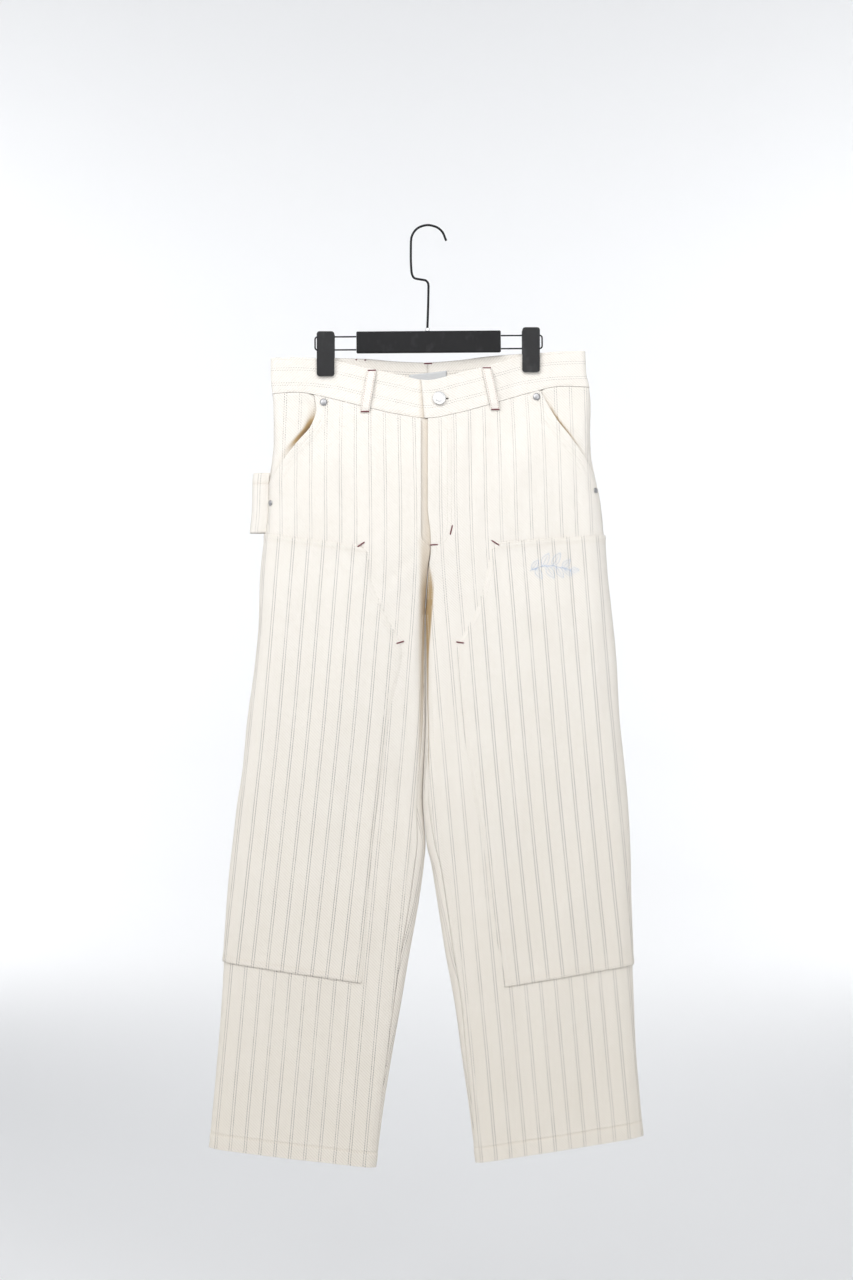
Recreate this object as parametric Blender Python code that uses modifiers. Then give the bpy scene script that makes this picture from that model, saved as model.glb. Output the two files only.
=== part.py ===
"""Carpenter pants on a clip hanger, as solids.

Every cloth piece is a wall made from one description of the hanging garment: a table of
sections from the waist down to the hems, and tables of the lines on which the cloth is cut.
Lengths are in millimetres until a mesh is made. "Down" is the distance below the inside of
the hook, "out" is the distance from the middle line towards a side seam, and right and left
are the wearer's: the right leg is at -X. The front faces -Y.
"""

import bisect
import math
from collections import namedtuple

import bmesh
import bpy
from mathutils import Matrix, Vector

MM = 0.001
SIDES = {"right": -1, "left": 1}
FRONT, BACK = -1, 1

CLOTH = 1.5
BAND_CLOTH = 2.5
BAND_PROUD = 0.6
KNEE_CLOTH = 1.3
LOOP_CLOTH = 1.6
STRAP_CLOTH = 1.8
GAP = 0.3
SEAM_GAP = 0.64
TILT = 0.022  # The garment hangs a little higher at the wearer's left.

# Sections of the two legs: the outlines seen from the front, and how deep each half is.
Section = namedtuple("Section", "down right_out right_in left_out left_in front back")
SECTIONS = [
    Section(165, 204.0, -4.0, 204.0, -4.0, 15.0, 15.0),
    Section(195, 203.5, -4.0, 205.0, -4.0, 15.5, 16.0),
    Section(215, 202.0, -4.0, 209.5, -4.0, 16.5, 18.0),
    Section(240, 201.0, -4.0, 211.5, -4.0, 18.0, 20.0),
    Section(275, 200.8, -4.0, 210.8, -4.0, 19.5, 22.5),
    Section(303, 203.3, -4.0, 212.0, -4.0, 20.5, 24.5),
    Section(330, 207.0, -4.0, 217.0, -4.0, 21.5, 26.0),
    Section(365, 208.0, -4.0, 224.0, -4.0, 22.0, 27.5),
    Section(403, 211.8, -4.0, 228.0, -4.0, 22.5, 28.0),
    Section(455, 217.0, 0.4, 231.6, -1.4, 22.0, 28.0),
    Section(510, 218.5, 3.7, 237.5, -3.0, 21.5, 27.0),
    Section(570, 224.2, 3.6, 243.3, -2.9, 21.0, 25.0),
    Section(640, 233.7, 3.5, 247.0, -2.8, 20.0, 23.0),
    Section(705, 240.0, 5.6, 253.6, -4.9, 19.0, 22.0),
    Section(745, 246.5, 6.9, 257.4, -6.2, 18.5, 21.0),
    Section(775, 250.0, 5.0, 259.5, -3.6, 18.0, 20.5),
    Section(803, 253.3, 3.2, 261.0, -0.9, 17.5, 20.0),
    Section(830, 256.5, 5.4, 261.9, 4.2, 17.0, 19.5),
    Section(876, 260.4, 11.7, 262.7, 11.6, 16.5, 19.0),
    Section(945, 265.0, 24.0, 265.3, 22.4, 16.0, 18.0),
    Section(1015, 269.0, 36.0, 267.4, 35.2, 15.5, 17.0),
    Section(1080, 274.3, 47.5, 270.4, 43.8, 15.0, 16.0),
    Section(1140, 279.8, 57.2, 275.4, 52.4, 14.5, 15.5),
    Section(1222, 287.0, 68.0, 282.5, 62.6, 14.0, 15.0),
]

# How deep the front and the back are at the waist: the clips pinch them together.
Waist = namedtuple("Waist", "out front back")
WAIST = [
    Waist(0, 15.0, 14.0),
    Waist(45, 13.0, 12.0),
    Waist(90, 8.5, 8.0),
    Waist(116, 3.7, 3.7),
    Waist(133, 3.4, 3.4),
    Waist(150, 3.7, 3.7),
    Waist(175, 5.4, 5.4),
    Waist(230, 5.4, 5.4),
]
WAIST_END, HIP_START = 200, 315
FORK_START, FORK_END = 412, 512
CROWN = 0.3  # How much shallower a section is beside its folds than at its middle.

# The width of the rounded fold at a side seam, down the leg, and of the fold at the inseam.
SIDE_FOLD = [(165, 8), (215, 9), (300, 20), (420, 26), (1222, 24)]
INNER_FOLD = 15

# The waistband's edges. Its bottom edge is also the top edge of the panels below it.
BandEdge = namedtuple("BandEdge", "out front_top front_low back_top back_low")
BAND_EDGES = [
    BandEdge(-40, 193.0, 245.0, 173.6, 223.0),
    BandEdge(0, 201.5, 250.9, 175.5, 225.0),
    BandEdge(40, 193.0, 244.6, 173.6, 223.0),
    BandEdge(82, 183.0, 234.0, 169.6, 219.0),
    BandEdge(126, 171.6, 221.6, 168.2, 217.4),
    BandEdge(172, 167.2, 212.6, 167.0, 215.4),
    BandEdge(215, 167.0, 214.8, 167.0, 214.8),
]
BAND_OVERLAP, BAND_UNDERLAP = 7, 30
UNDERLAP_START, UNDERLAP_FULL, UNDERLAP_INSET = 66, 28, 3.0

# The edge of each front at the fly. The left front lies over the shield of the right one.
FlyEdge = namedtuple("FlyEdge", "down right left")
FLY_EDGES = [
    FlyEdge(165, 9.0, -0.4),
    FlyEdge(367, 9.0, -0.4),
    FlyEdge(394, 9.0, 2.6),
    FlyEdge(405, 8.6, 3.4),
    FlyEdge(420, -3.2, 3.7),
    FlyEdge(445, -0.3, 0.8),
    FlyEdge(470, 1.9, -1.3),
    FlyEdge(496, 3.8, -2.6),
]
FLY_END = 496
SHIELD_RIGHT, SHIELD_LEFT, SHIELD_INSET = -24, 34, 2.5
SHIELD_BOTTOM = 417

# Pocket mouths, cut from the outer top corner of each front.
Mouth = namedtuple("Mouth", "down right left")
MOUTHS = [
    Mouth(210, 150.0, 141.5),
    Mouth(222, 146.8, 148.0),
    Mouth(235, 145.0, 155.0),
    Mouth(256, 151.0, 167.0),
    Mouth(279, 170.2, 184.5),
    Mouth(296, 183.8, 196.5),
    Mouth(318, 199.6, 210.5),
    Mouth(332, 206.6, 216.6),
]
MOUTH_END = 332
GAPE_START, GAPE_MIDDLE, GAPE_LENGTH, GAPE_REACH = 234, 268, 32, 34
GAPE = {"right": 3.4, "left": 2.4}
FACING_UNDER, FACING_END = 40, 347
FACING_INSET, FACING_RISE, FACING_RISE_WIDTH = 2.5, 1.5, 32

# The inner edge of each double-knee panel, with a corner that points at the inseam.
KneeEdge = namedtuple("KneeEdge", "down right left")
KNEE_UPPER = [
    KneeEdge(250, 84.0, 84.0),
    KneeEdge(414, 87.0, 87.0),
    KneeEdge(424, 78.0, 82.0),
    KneeEdge(451, 75.2, 76.0),
    KneeEdge(487, 62.6, 67.0),
    KneeEdge(517, 48.2, 54.8),
    KneeEdge(541, 35.6, 38.8),
]
KNEE_LOWER = [
    KneeEdge(541, 35.6, 38.8),
    KneeEdge(552, 34.2, 37.2),
    KneeEdge(636, 50.7, 43.8),
    KneeEdge(719, 61.1, 55.8),
    KneeEdge(812, 72.8, 72.4),
    KneeEdge(905, 79.3, 85.4),
    KneeEdge(985, 86.2, 98.4),
    KneeEdge(1222, 112.0, 122.0),
]

# How far the inseam has turned to the front of the leg.
INSEAM_TURN = [(496, 0.0), (600, 2), (740, 7), (840, 12), (950, 11), (1080, 6), (1222, 0.6)]

# Lines across a leg, and how many rows of faces lie between each and the next.
Line = namedtuple("Line", "name rows right_out right_in left_out left_in")
TOP_LINE = Line("waist", 6, None, None, None, None)
LINES = [
    Line("pocket", 3, 331, 350, 331, 350),
    Line("knee_top", 5, 395.7, 427.5, 406.8, 418.6),
    Line("knee_corner", 9, 528, 542.5, 533, 547.5),
    Line("parting", 6, 786, 806, 790, 806),
    Line("knee_bottom", 6, 949.7, 989.4, 965.3, 999.0),
    Line("hem", 0, 1190.5, 1221.0, 1187.8, 1217.8),
]
KNEE_FIRST_ROW, KNEE_LAST_ROW = 9, 29
COLUMNS_TO_KNEE, COLUMNS_PAST_KNEE, BACK_COLUMNS = 9, 6, 13
SEAM_COLUMN = 0.9  # The narrow column beside a seam, which squares up the cut edges.

# Soft folds: a line from one point to another, its height and its width. A trough is negative.
Fold = namedtuple("Fold", "face x down to_x to_down height width")
FOLDS = [
    Fold(FRONT, -132, 215, -126, 330, 2.6, 14),
    Fold(FRONT, -104, 232, -92, 400, -2.0, 15),
    Fold(FRONT, -14, 255, -13, 405, 1.3, 7),
    Fold(FRONT, 62, 245, 60, 330, -2.4, 9),
    Fold(FRONT, 134, 212, 120, 345, 2.6, 14),
    Fold(FRONT, 192, 250, 212, 305, -2.2, 8),
    Fold(FRONT, 110, 470, 178, 640, 2.0, 20),
    Fold(FRONT, -90, 520, -150, 700, 1.8, 22),
    Fold(FRONT, 225, 520, 236, 640, -3.0, 9),
    Fold(FRONT, 60, 640, 96, 860, 2.0, 18),
    Fold(FRONT, -70, 620, -120, 850, -2.0, 18),
    Fold(FRONT, -215, 820, -170, 1010, 2.2, 22),
    Fold(FRONT, 205, 830, 150, 1060, 2.0, 22),
    Fold(FRONT, -120, 1010, -135, 1200, -1.8, 16),
    Fold(FRONT, 120, 1030, 128, 1200, -1.8, 16),
    Fold(BACK, -132, 215, -118, 360, 3.0, 15),
    Fold(BACK, 133, 215, 122, 350, 3.0, 15),
    Fold(BACK, -60, 232, -66, 390, -2.6, 18),
    Fold(BACK, 58, 232, 70, 400, -2.6, 18),
    Fold(BACK, -30, 470, -150, 600, -2.4, 16),
    Fold(BACK, 30, 470, 160, 590, -2.4, 16),
    Fold(BACK, -190, 620, -120, 860, 2.4, 22),
    Fold(BACK, 190, 600, 130, 850, 2.4, 22),
    Fold(BACK, -140, 900, -165, 1180, -2.2, 20),
    Fold(BACK, 150, 920, 170, 1180, -2.2, 20),
]

# Belt loops: the place of each end on the band and how far it stands off at its middle.
Loop = namedtuple("Loop", "name face x down to_x to_down")
BELT_LOOPS = [
    Loop("belt_loop_front_right", FRONT, -72.3, 186.5, -81.6, 241.5),
    Loop("belt_loop_front_left", FRONT, 75.3, 186.5, 87.1, 242.5),
    Loop("belt_loop_back_right", BACK, -88, 170.5, -88, 227.5),
    Loop("belt_loop_back_middle", BACK, 0, 176.8, 0, 234),
    Loop("belt_loop_back_left", BACK, 88, 170.5, 88, 227.5),
]
LOOP_WIDTH, LOOP_STANDOFF = 12, 2.6

# The tool loop at the wearer's right: its path around the side, from the side seam's fold.
Strap = namedtuple("Strap", "out back")
STRAP_PATH = [
    Strap(0.4, -0.4),
    Strap(9.0, -2.4),
    Strap(16.4, -0.4),
    Strap(20.0, 6.0),
    Strap(18.6, 14.0),
    Strap(9.0, 20.6),
    Strap(-6.0, 22.2),
]
STRAP_TOP, STRAP_BOTTOM = 316.5, 394.0
STRAP_SEAT_START, STRAP_SEAT_END = -22, -38

RIVET_RADIUS, RIVET_HEIGHT, RIVET_SEAT, SIDE_RIVET_SEAT = 4.75, 1.5, 0.9, 0.6
Rivet = namedtuple("Rivet", "name side out down")
RIVETS = [
    Rivet("rivet_pocket_top_right", "right", 135.6, 226.5),
    Rivet("rivet_pocket_top_left", "left", 140.8, 225.5),
]
SideRivet = namedtuple("SideRivet", "name side down")
SIDE_RIVETS = [
    SideRivet("rivet_pocket_end_right", "right", 356.0),
    SideRivet("rivet_pocket_end_left", "left", 349.0),
]
SIDE_RIVET_TURN = 0.27

BUTTON_X, BUTTON_DOWN, BUTTON_RADIUS = 14.4, 225.5, 8.5
LABEL_WIDTH, LABEL_TOP, LABEL_BOTTOM, LABEL_THICK = 49, 183.5, 207.0, 0.8

BAR_LENGTH, BAR_HEIGHT, BAR_DEPTH, BAR_DOWN = 187.6, 28.0, 9.0, 150.6
BAR_TILT = math.radians(0.43)
WIRE_RADIUS, WIRE_HIGH, WIRE_LOW = 1.0, 143.0, 160.0
WIRE_END, WIRE_BEND = 147.6, 3.2
CLIP_WIDTH, CLIP_HEIGHT, CLIP_CORNER, CLIP_THICK = 22.8, 58.0, 3.6, 3.2
Clip = namedtuple("Clip", "side middle top")
CLIPS = [Clip("right", 132.9, 137.8), Clip("left", 133.6, 132.6)]
JAW_GRIP, JAW_SPREAD = 4.7, 2.4
SPRING_BORE, SPRING_LENGTH = 1.35, 20.0
HOOK_RADIUS = 1.5
HOOK_PATH = [
    (-0.8, -132.2),
    (0.2, -100.0),
    (0.6, -77.0),
    (-3.4, -70.4),
    (-10.0, -69.2),
    (-17.6, -67.6),
    (-21.4, -60.0),
    (-22.4, -40.0),
    (-22.2, -19.0),
    (-18.4, -7.6),
    (-9.8, -0.6),
    (0.0, 1.5),
    (10.2, -0.8),
    (18.6, -7.4),
    (23.6, -19.0),
]
FERRULE_RADIUS, FERRULE_HEIGHT = 3.4, 3.6


def clear_scene():
    for obj in list(bpy.data.objects):
        bpy.data.objects.remove(obj, do_unlink=True)


def finish(name, colour, roughness, metallic=0.0):
    material = bpy.data.materials.new(name)
    material.use_nodes = True
    shader = material.node_tree.nodes["Principled BSDF"]
    shader.inputs["Base Color"].default_value = (*colour, 1)
    shader.inputs["Roughness"].default_value = roughness
    shader.inputs["Metallic"].default_value = metallic
    material.diffuse_color = (*colour, 1)
    return material


def smoothstep(start, end, value):
    part = min(max((value - start) / (end - start), 0), 1)
    return part * part * (3 - 2 * part)


def curve_through(points):
    """A function that runs smoothly through (place, value) points, without overshooting them."""
    places = [float(place) for place, _ in points]
    values = [float(value) for _, value in points]
    spans = [after - before for before, after in zip(places, places[1:])]
    slopes = [(values[i + 1] - values[i]) / span for i, span in enumerate(spans)]
    turns = [0 if a * b <= 0 else 2 * a * b / (a + b) for a, b in zip(slopes, slopes[1:])]
    turns = [slopes[0], *turns, slopes[-1]]

    def value_at(place):
        place = min(max(place, places[0]), places[-1])
        i = min(max(bisect.bisect_right(places, place) - 1, 0), len(spans) - 1)
        t = (place - places[i]) / spans[i]
        rise = spans[i] * (turns[i] * t * (1 - t) ** 2 - turns[i + 1] * t * t * (1 - t))
        return values[i] + (values[i + 1] - values[i]) * t * t * (3 - 2 * t) + rise

    return value_at


def column(rows, place, value):
    return curve_through([(getattr(row, place), getattr(row, value)) for row in rows])


OUTER = {side: column(SECTIONS, "down", side + "_out") for side in SIDES}
INNER = {side: column(SECTIONS, "down", side + "_in") for side in SIDES}
DEPTH = {FRONT: column(SECTIONS, "down", "front"), BACK: column(SECTIONS, "down", "back")}
WAIST_DEPTH = {FRONT: column(WAIST, "out", "front"), BACK: column(WAIST, "out", "back")}
FOLD_WIDTH = curve_through(SIDE_FOLD)
BAND_TOP = {
    FRONT: column(BAND_EDGES, "out", "front_top"),
    BACK: column(BAND_EDGES, "out", "back_top"),
}
BAND_LOW = {
    FRONT: column(BAND_EDGES, "out", "front_low"),
    BACK: column(BAND_EDGES, "out", "back_low"),
}
FLY_EDGE = {side: column(FLY_EDGES, "down", side) for side in SIDES}
MOUTH = {side: column(MOUTHS, "down", side) for side in SIDES}
KNEE_ABOVE = {side: column(KNEE_UPPER, "down", side) for side in SIDES}
KNEE_BELOW = {side: column(KNEE_LOWER, "down", side) for side in SIDES}
INSEAM = curve_through(INSEAM_TURN)


def fold_height(face, x, down):
    """What the soft folds add to the depth of the cloth at one place."""
    total = 0.0
    for fold in FOLDS:
        if fold.face != face:
            continue
        run = Vector((fold.to_x - fold.x, fold.to_down - fold.down))
        reach = Vector((x - fold.x, down - fold.down))
        along = reach.dot(run) / run.length_squared
        across = abs(reach.x * run.y - reach.y * run.x) / run.length
        fade = smoothstep(-0.25, 0.25, along) * smoothstep(1.25, 0.75, along)
        total += fold.height * fade * math.exp(-((across / fold.width) ** 2))
    return total


def round_edge(distance, width):
    """Rises from 0 at a fold to 1 past its width, as a quarter of an ellipse."""
    part = min(max(distance / width, 0), 1)
    return math.sqrt(1 - (1 - part) ** 2)


def cloth_depth(side, face, out, down):
    """How far the outer side of the cloth lies from the middle plane."""
    outer, inner = OUTER[side](down), INNER[side](down)
    middle, half = (outer + inner) / 2, (outer - inner) / 2
    leg = smoothstep(FORK_START, FORK_END, down)
    crown = CROWN * ((1 - leg) * (out / outer) ** 2 + leg * ((out - middle) / half) ** 2)
    hip = smoothstep(WAIST_END, HIP_START, down)
    depth = DEPTH[face](down) * (1 - crown) * hip + WAIST_DEPTH[face](abs(out)) * (1 - hip)
    depth += fold_height(face, SIDES[side] * out, down) * hip
    groove = 1 - leg + leg * round_edge(out - inner, INNER_FOLD)
    return depth * round_edge(outer - out, FOLD_WIDTH(down)) * groove


def thigh_shift(side, out, down):
    """The thighs press together: the left one comes forward and the right one goes back."""
    outer, inner = OUTER[side](down), INNER[side](down)
    near = 1 - (out - inner) / (outer - inner)
    return -SIDES[side] * 3.0 * math.exp(-(((down - 745) / 60) ** 2)) * near * near


def place(side, face, out, down):
    """A point on the outer side of the cloth."""
    y = face * cloth_depth(side, face, out, down) + thigh_shift(side, out, down)
    x = SIDES[side] * out
    return Vector((x, y, TILT * x - down))


def out_at(side, turn, down):
    outer, inner = OUTER[side](down), INNER[side](down)
    return (outer + inner) / 2 + (outer - inner) / 2 * math.cos(turn)


def turn_at(side, out, down):
    outer, inner = OUTER[side](down), INNER[side](down)
    part = (2 * out - outer - inner) / (outer - inner)
    return math.acos(min(max(part, -1), 1))


def ring(side, turn, down):
    """A point around a leg: 0 is the side seam, pi the inner fold, and past pi is the back."""
    face = FRONT if turn <= math.pi else BACK
    return place(side, face, out_at(side, turn, down), down)


def ring_normal(side, turn, down):
    step = 0.02
    around = ring(side, turn + step, down) - ring(side, turn - step, down)
    along = ring(side, turn, down + 1) - ring(side, turn, down - 1)
    normal = around.cross(along) * SIDES[side]
    return normal.normalized()


def turn_over(side, turn, down, length):
    """The turn that a short length of cloth takes up there."""
    step = 0.01
    speed = (ring(side, turn + step, down) - ring(side, turn - step, down)).length / (2 * step)
    return length / max(speed, 1)


def seam_gap(side, turn, down):
    return turn_over(side, turn, down, SEAM_GAP / 2)


def knee_edge(side, down):
    corner = KNEE_LOWER[0].down
    return KNEE_ABOVE[side](down) if down < corner else KNEE_BELOW[side](down)


def inseam_turn(side, down):
    inner = INNER[side](down)
    return turn_at(side, inner + INSEAM(down), down)


def line_down(side, face, line, out, down):
    """How far down a line lies at one place across the leg."""
    if line is TOP_LINE:
        return BAND_LOW[face](out) + GAP
    outer, inner = OUTER[side](down), INNER[side](down)
    part = (outer - out) / (outer - inner)
    start, end = getattr(line, side + "_out"), getattr(line, side + "_in")
    return start + (end - start) * part


def panel_rows():
    """Each row of points, as the line above it, the line below it and its share of the way."""
    lines = [TOP_LINE, *LINES]
    for above, below in zip(lines, lines[1:]):
        for step in range(above.rows):
            yield above, below, step / above.rows
    yield LINES[-2], LINES[-1], 1.0


def settle(side, face, above, below, share, turn_for):
    """The turn and the place down of a point that lies on a row and on a column."""
    down = 500.0 if above is not TOP_LINE else 250.0
    for _ in range(14):
        out = out_at(side, turn_for(down), down)
        start = line_down(side, face, above, out, down)
        end = line_down(side, face, below, out, down)
        down += (start + (end - start) * share - down) * 0.9
    return turn_for(down), down


def front_start(side, down):
    """Where a front begins: the pocket mouth, and below it the side seam."""
    seam = seam_gap(side, 0.05, down)
    if down >= MOUTH_END:
        return seam
    return max(turn_at(side, MOUTH[side](down), down), seam)


def front_end(side, down):
    if down < FLY_END:
        return turn_at(side, FLY_EDGE[side](down), down)
    turn = inseam_turn(side, down)
    return turn - seam_gap(side, min(turn, math.pi - 0.05), down)


def front_column(side, number):
    """The turn of one column of a front's points, as a function of the place down."""

    def turn_for(down):
        start, end = front_start(side, down), front_end(side, down)
        knee = turn_at(side, knee_edge(side, down), down)
        if number in (0, COLUMNS_TO_KNEE + COLUMNS_PAST_KNEE):
            return start if number == 0 else end
        if number <= COLUMNS_TO_KNEE:
            start += turn_over(side, max(start, 0.05), down, SEAM_COLUMN)
            return start + (knee - start) * (number - 1) / (COLUMNS_TO_KNEE - 1)
        end -= turn_over(side, min(end, math.pi - 0.05), down, SEAM_COLUMN)
        return knee + (end - knee) * (number - COLUMNS_TO_KNEE) / (COLUMNS_PAST_KNEE - 1)

    return turn_for


def back_column(side, number):
    """The same for a back. It goes from the side seam to the middle seam or the inseam."""

    def turn_for(down):
        start = 2 * math.pi - seam_gap(side, 0.05, down)
        if down < FLY_END:
            out = GAP / 2 - SIDES[side] * max(0, INNER["right"](down))
            end = 2 * math.pi - turn_at(side, out, down)
        else:
            end = inseam_turn(side, down)
            end += seam_gap(side, min(end, math.pi - 0.05), down)
        if number in (0, BACK_COLUMNS):
            return start if number == 0 else end
        start -= turn_over(side, 0.05, down, SEAM_COLUMN)
        end += turn_over(side, min(end, math.pi - 0.05), down, SEAM_COLUMN)
        return start + (end - start) * (number - 1) / (BACK_COLUMNS - 2)

    return turn_for


def gape(side, turn, down):
    """How far a front stands off at its pocket mouth."""
    if down >= MOUTH_END:
        return 0.0
    past = MOUTH[side](down) - out_at(side, turn, down)
    along = math.exp(-(((down - GAPE_MIDDLE) / GAPE_LENGTH) ** 2))
    along *= smoothstep(MOUTH_END, MOUTH_END - 30, down) * smoothstep(GAPE_START, GAPE_START + 18, down)
    return GAPE[side] * along * smoothstep(GAPE_REACH, 0, past)


def front_grid(side, lift=0.0):
    """Rows of points of a front, moved out by a lift."""
    grid = []
    for above, below, share in panel_rows():
        row = []
        for number in range(COLUMNS_TO_KNEE + COLUMNS_PAST_KNEE + 1):
            turn, down = settle(side, FRONT, above, below, share, front_column(side, number))
            point = ring(side, turn, down)
            point.y -= gape(side, turn, down)
            row.append(point + ring_normal(side, turn, down) * lift)
        grid.append(row)
    return grid


def back_grid(side):
    grid = []
    for above, below, share in panel_rows():
        row = []
        for number in range(BACK_COLUMNS + 1):
            turn, down = settle(side, BACK, above, below, share, back_column(side, number))
            row.append(ring(side, turn, down))
        grid.append(row)
    return grid


def put(mesh, name, material):
    obj = bpy.data.objects.new(name, mesh)
    mesh.materials.append(material)
    GARMENT.objects.link(obj)
    return obj


def wall(name, grid, thickness, material, flip):
    """A sheet of cloth through rows of points, thickened inwards."""
    shape = bmesh.new()
    rows = [[shape.verts.new(point * MM) for point in row] for row in grid]
    for upper, lower in zip(rows, rows[1:]):
        for i in range(len(upper) - 1):
            for corners in (
                [upper[i], upper[i + 1], lower[i + 1]],
                [upper[i], lower[i + 1], lower[i]],
            ):
                shape.faces.new(corners[::-1] if flip else corners)
    mesh = bpy.data.meshes.new(name)
    shape.to_mesh(mesh)
    shape.free()
    mesh.shade_smooth()
    mesh.set_sharp_from_angle(angle=math.radians(50))
    obj = put(mesh, name, material)
    solid = obj.modifiers.new("Thickness", "SOLIDIFY")
    solid.thickness = thickness * MM
    solid.offset = -1
    solid.use_even_offset = True
    solid.use_quality_normals = True
    return obj


def build_panels(cloth):
    for side, sign in SIDES.items():
        fronts = front_grid(side)
        wall("front_" + side, fronts, CLOTH, cloth, flip=sign < 0)
        wall("back_" + side, back_grid(side), CLOTH, cloth, flip=sign > 0)
        knee = front_grid(side, GAP + 0.05 + KNEE_CLOTH)[KNEE_FIRST_ROW : KNEE_LAST_ROW + 1]
        knee = [row[: COLUMNS_TO_KNEE + 1] for row in knee]
        wall("double_knee_" + side, knee, KNEE_CLOTH, cloth, flip=sign < 0)


def build_facings(cloth):
    """The cloth that shows inside each pocket mouth, and runs on under the front."""
    rows, columns = 8, 8
    for side, sign in SIDES.items():
        grid = []
        for j in range(rows + 1):
            row = []
            for i in range(columns + 1):

                def turn_for(down, i=i):
                    inner = turn_at(side, MOUTH[side](down) - FACING_UNDER, down)
                    start = seam_gap(side, 0.05, down)
                    if i == 0:
                        return start
                    start += turn_over(side, 0.05, down, SEAM_COLUMN)
                    return start + (inner - start) * (i - 1) / (columns - 1)

                down = 280.0
                for _ in range(14):
                    out = out_at(side, turn_for(down), down)
                    start = BAND_LOW[FRONT](out) + 3 * GAP
                    down += (start + (FACING_END - start) * j / rows - down) * 0.9
                turn = turn_for(down)
                past = out_at(side, turn, down) - MOUTH[side](down)
                inset = FACING_INSET - FACING_RISE * smoothstep(3, FACING_RISE_WIDTH, past)
                row.append(ring(side, turn, down) - ring_normal(side, turn, down) * inset)
            grid.append(row)
        wall("pocket_facing_" + side, grid, CLOTH, cloth, flip=sign < 0)


def torso_point(x, face, down, lift=0.0):
    """A point at the waist or the fly, on either side of the middle, moved out by a lift."""
    side = "left" if x > 0 else "right"
    point = place(side, face, abs(x), down)
    step = 1.5
    across = place(side, face, abs(x) + step, down) - place(side, face, abs(x) - step, down)
    along = place(side, face, abs(x), down + step) - place(side, face, abs(x), down - step)
    normal = across.cross(along).normalized()
    if normal.y * face < 0:
        normal.negate()
    return point + normal * lift


def build_fly_shield(cloth):
    rows, columns = 8, 6
    grid = []
    for j in range(rows + 1):
        row = []
        for i in range(columns + 1):
            x = SHIELD_RIGHT + (SHIELD_LEFT - SHIELD_RIGHT) * i / columns
            top = BAND_LOW[FRONT](abs(x)) + GAP
            down = top + (SHIELD_BOTTOM - top) * j / rows
            row.append(torso_point(x, FRONT, down, -SHIELD_INSET))
        grid.append(row)
    wall("fly_shield", grid, CLOTH, cloth, flip=True)


def band_point(side, sweep, share):
    """A point of a waistband half. The sweep is 0 at the front's middle and pi at the back's."""
    face = FRONT if sweep <= math.pi / 2 else BACK
    down = 190.0
    for _ in range(12):
        out = OUTER[side](down) * math.sin(sweep)
        top, low = BAND_TOP[face](out), BAND_LOW[face](out)
        down = top + (low - top) * share
    out = OUTER[side](down) * math.sin(sweep)
    return place(side, face, out, down), out


def build_waistband(cloth):
    """Two halves, which lap at the front and meet at the middle of the back."""
    columns, rows = 28, 2
    for side, sign in SIDES.items():
        reach = BAND_OVERLAP if side == "left" else BAND_UNDERLAP
        start = -math.asin(reach / OUTER[side](200))
        end = math.pi - math.asin(GAP / 2 / OUTER[side](200))
        grid = []
        for j in range(rows + 1):
            row = []
            for i in range(columns + 1):
                sweep = start + (end - start) * i / columns
                point, out = band_point(side, sweep, j / rows)
                ahead, _ = band_point(side, sweep + 0.01, j / rows)
                behind, _ = band_point(side, sweep - 0.01, j / rows)
                around = ahead - behind
                outward = Vector((around.y, -around.x, 0)).normalized() * sign
                lift = BAND_PROUD
                if side == "right" and sweep < math.pi / 2:
                    lift -= UNDERLAP_INSET * smoothstep(UNDERLAP_START, UNDERLAP_FULL, out)
                row.append(point + outward * lift)
            grid.append(row)
        wall("waistband_" + side, grid, BAND_CLOTH, cloth, flip=sign > 0)


def build_belt_loops(cloth):
    rows, columns = 8, 2
    for loop in BELT_LOOPS:
        grid = []
        for j in range(rows + 1):
            share = j / rows
            row = []
            for i in range(columns + 1):
                across = LOOP_WIDTH * (i / columns - 0.5)
                x = loop.x + (loop.to_x - loop.x) * share + across
                down = loop.down + (loop.to_down - loop.down) * share
                on_band = down < BAND_LOW[loop.face](abs(x)) + 3
                lift = (BAND_PROUD if on_band else 0) + GAP + 0.05 + LOOP_CLOTH
                lift += LOOP_STANDOFF * math.sin(math.pi * share) ** 0.7
                row.append(torso_point(x, loop.face, down, lift))
            grid.append(row)
        wall(loop.name, grid, LOOP_CLOTH, cloth, flip=loop.face == FRONT)


def build_tool_loop(cloth):
    """A wide strap, caught in the right side seam, that bows out and is sewn to the back."""
    side, rows, columns = "right", 4, 14
    total = len(STRAP_PATH) + 1
    grid = []
    for j in range(rows + 1):
        down = STRAP_TOP + (STRAP_BOTTOM - STRAP_TOP) * j / rows
        outer = OUTER[side](down)
        path = [(outer + strap.out, strap.back) for strap in STRAP_PATH]
        for seat in (STRAP_SEAT_START, STRAP_SEAT_END):
            out = outer + seat
            lift = GAP + 0.05 + STRAP_CLOTH + (1.2 if seat == STRAP_SEAT_START else 0)
            point = torso_point(-out, BACK, down, lift)
            path.append((-point.x, point.y))
        outs = curve_through([(i, out) for i, (out, _) in enumerate(path)])
        ys = curve_through([(i, y) for i, (_, y) in enumerate(path)])
        row = []
        for i in range(columns + 1):
            out, y = outs(total * i / columns), ys(total * i / columns)
            row.append(Vector((-out, y, -TILT * out - down)))
        grid.append(row)
    wall("tool_loop", grid, STRAP_CLOTH, cloth, flip=True)


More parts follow.
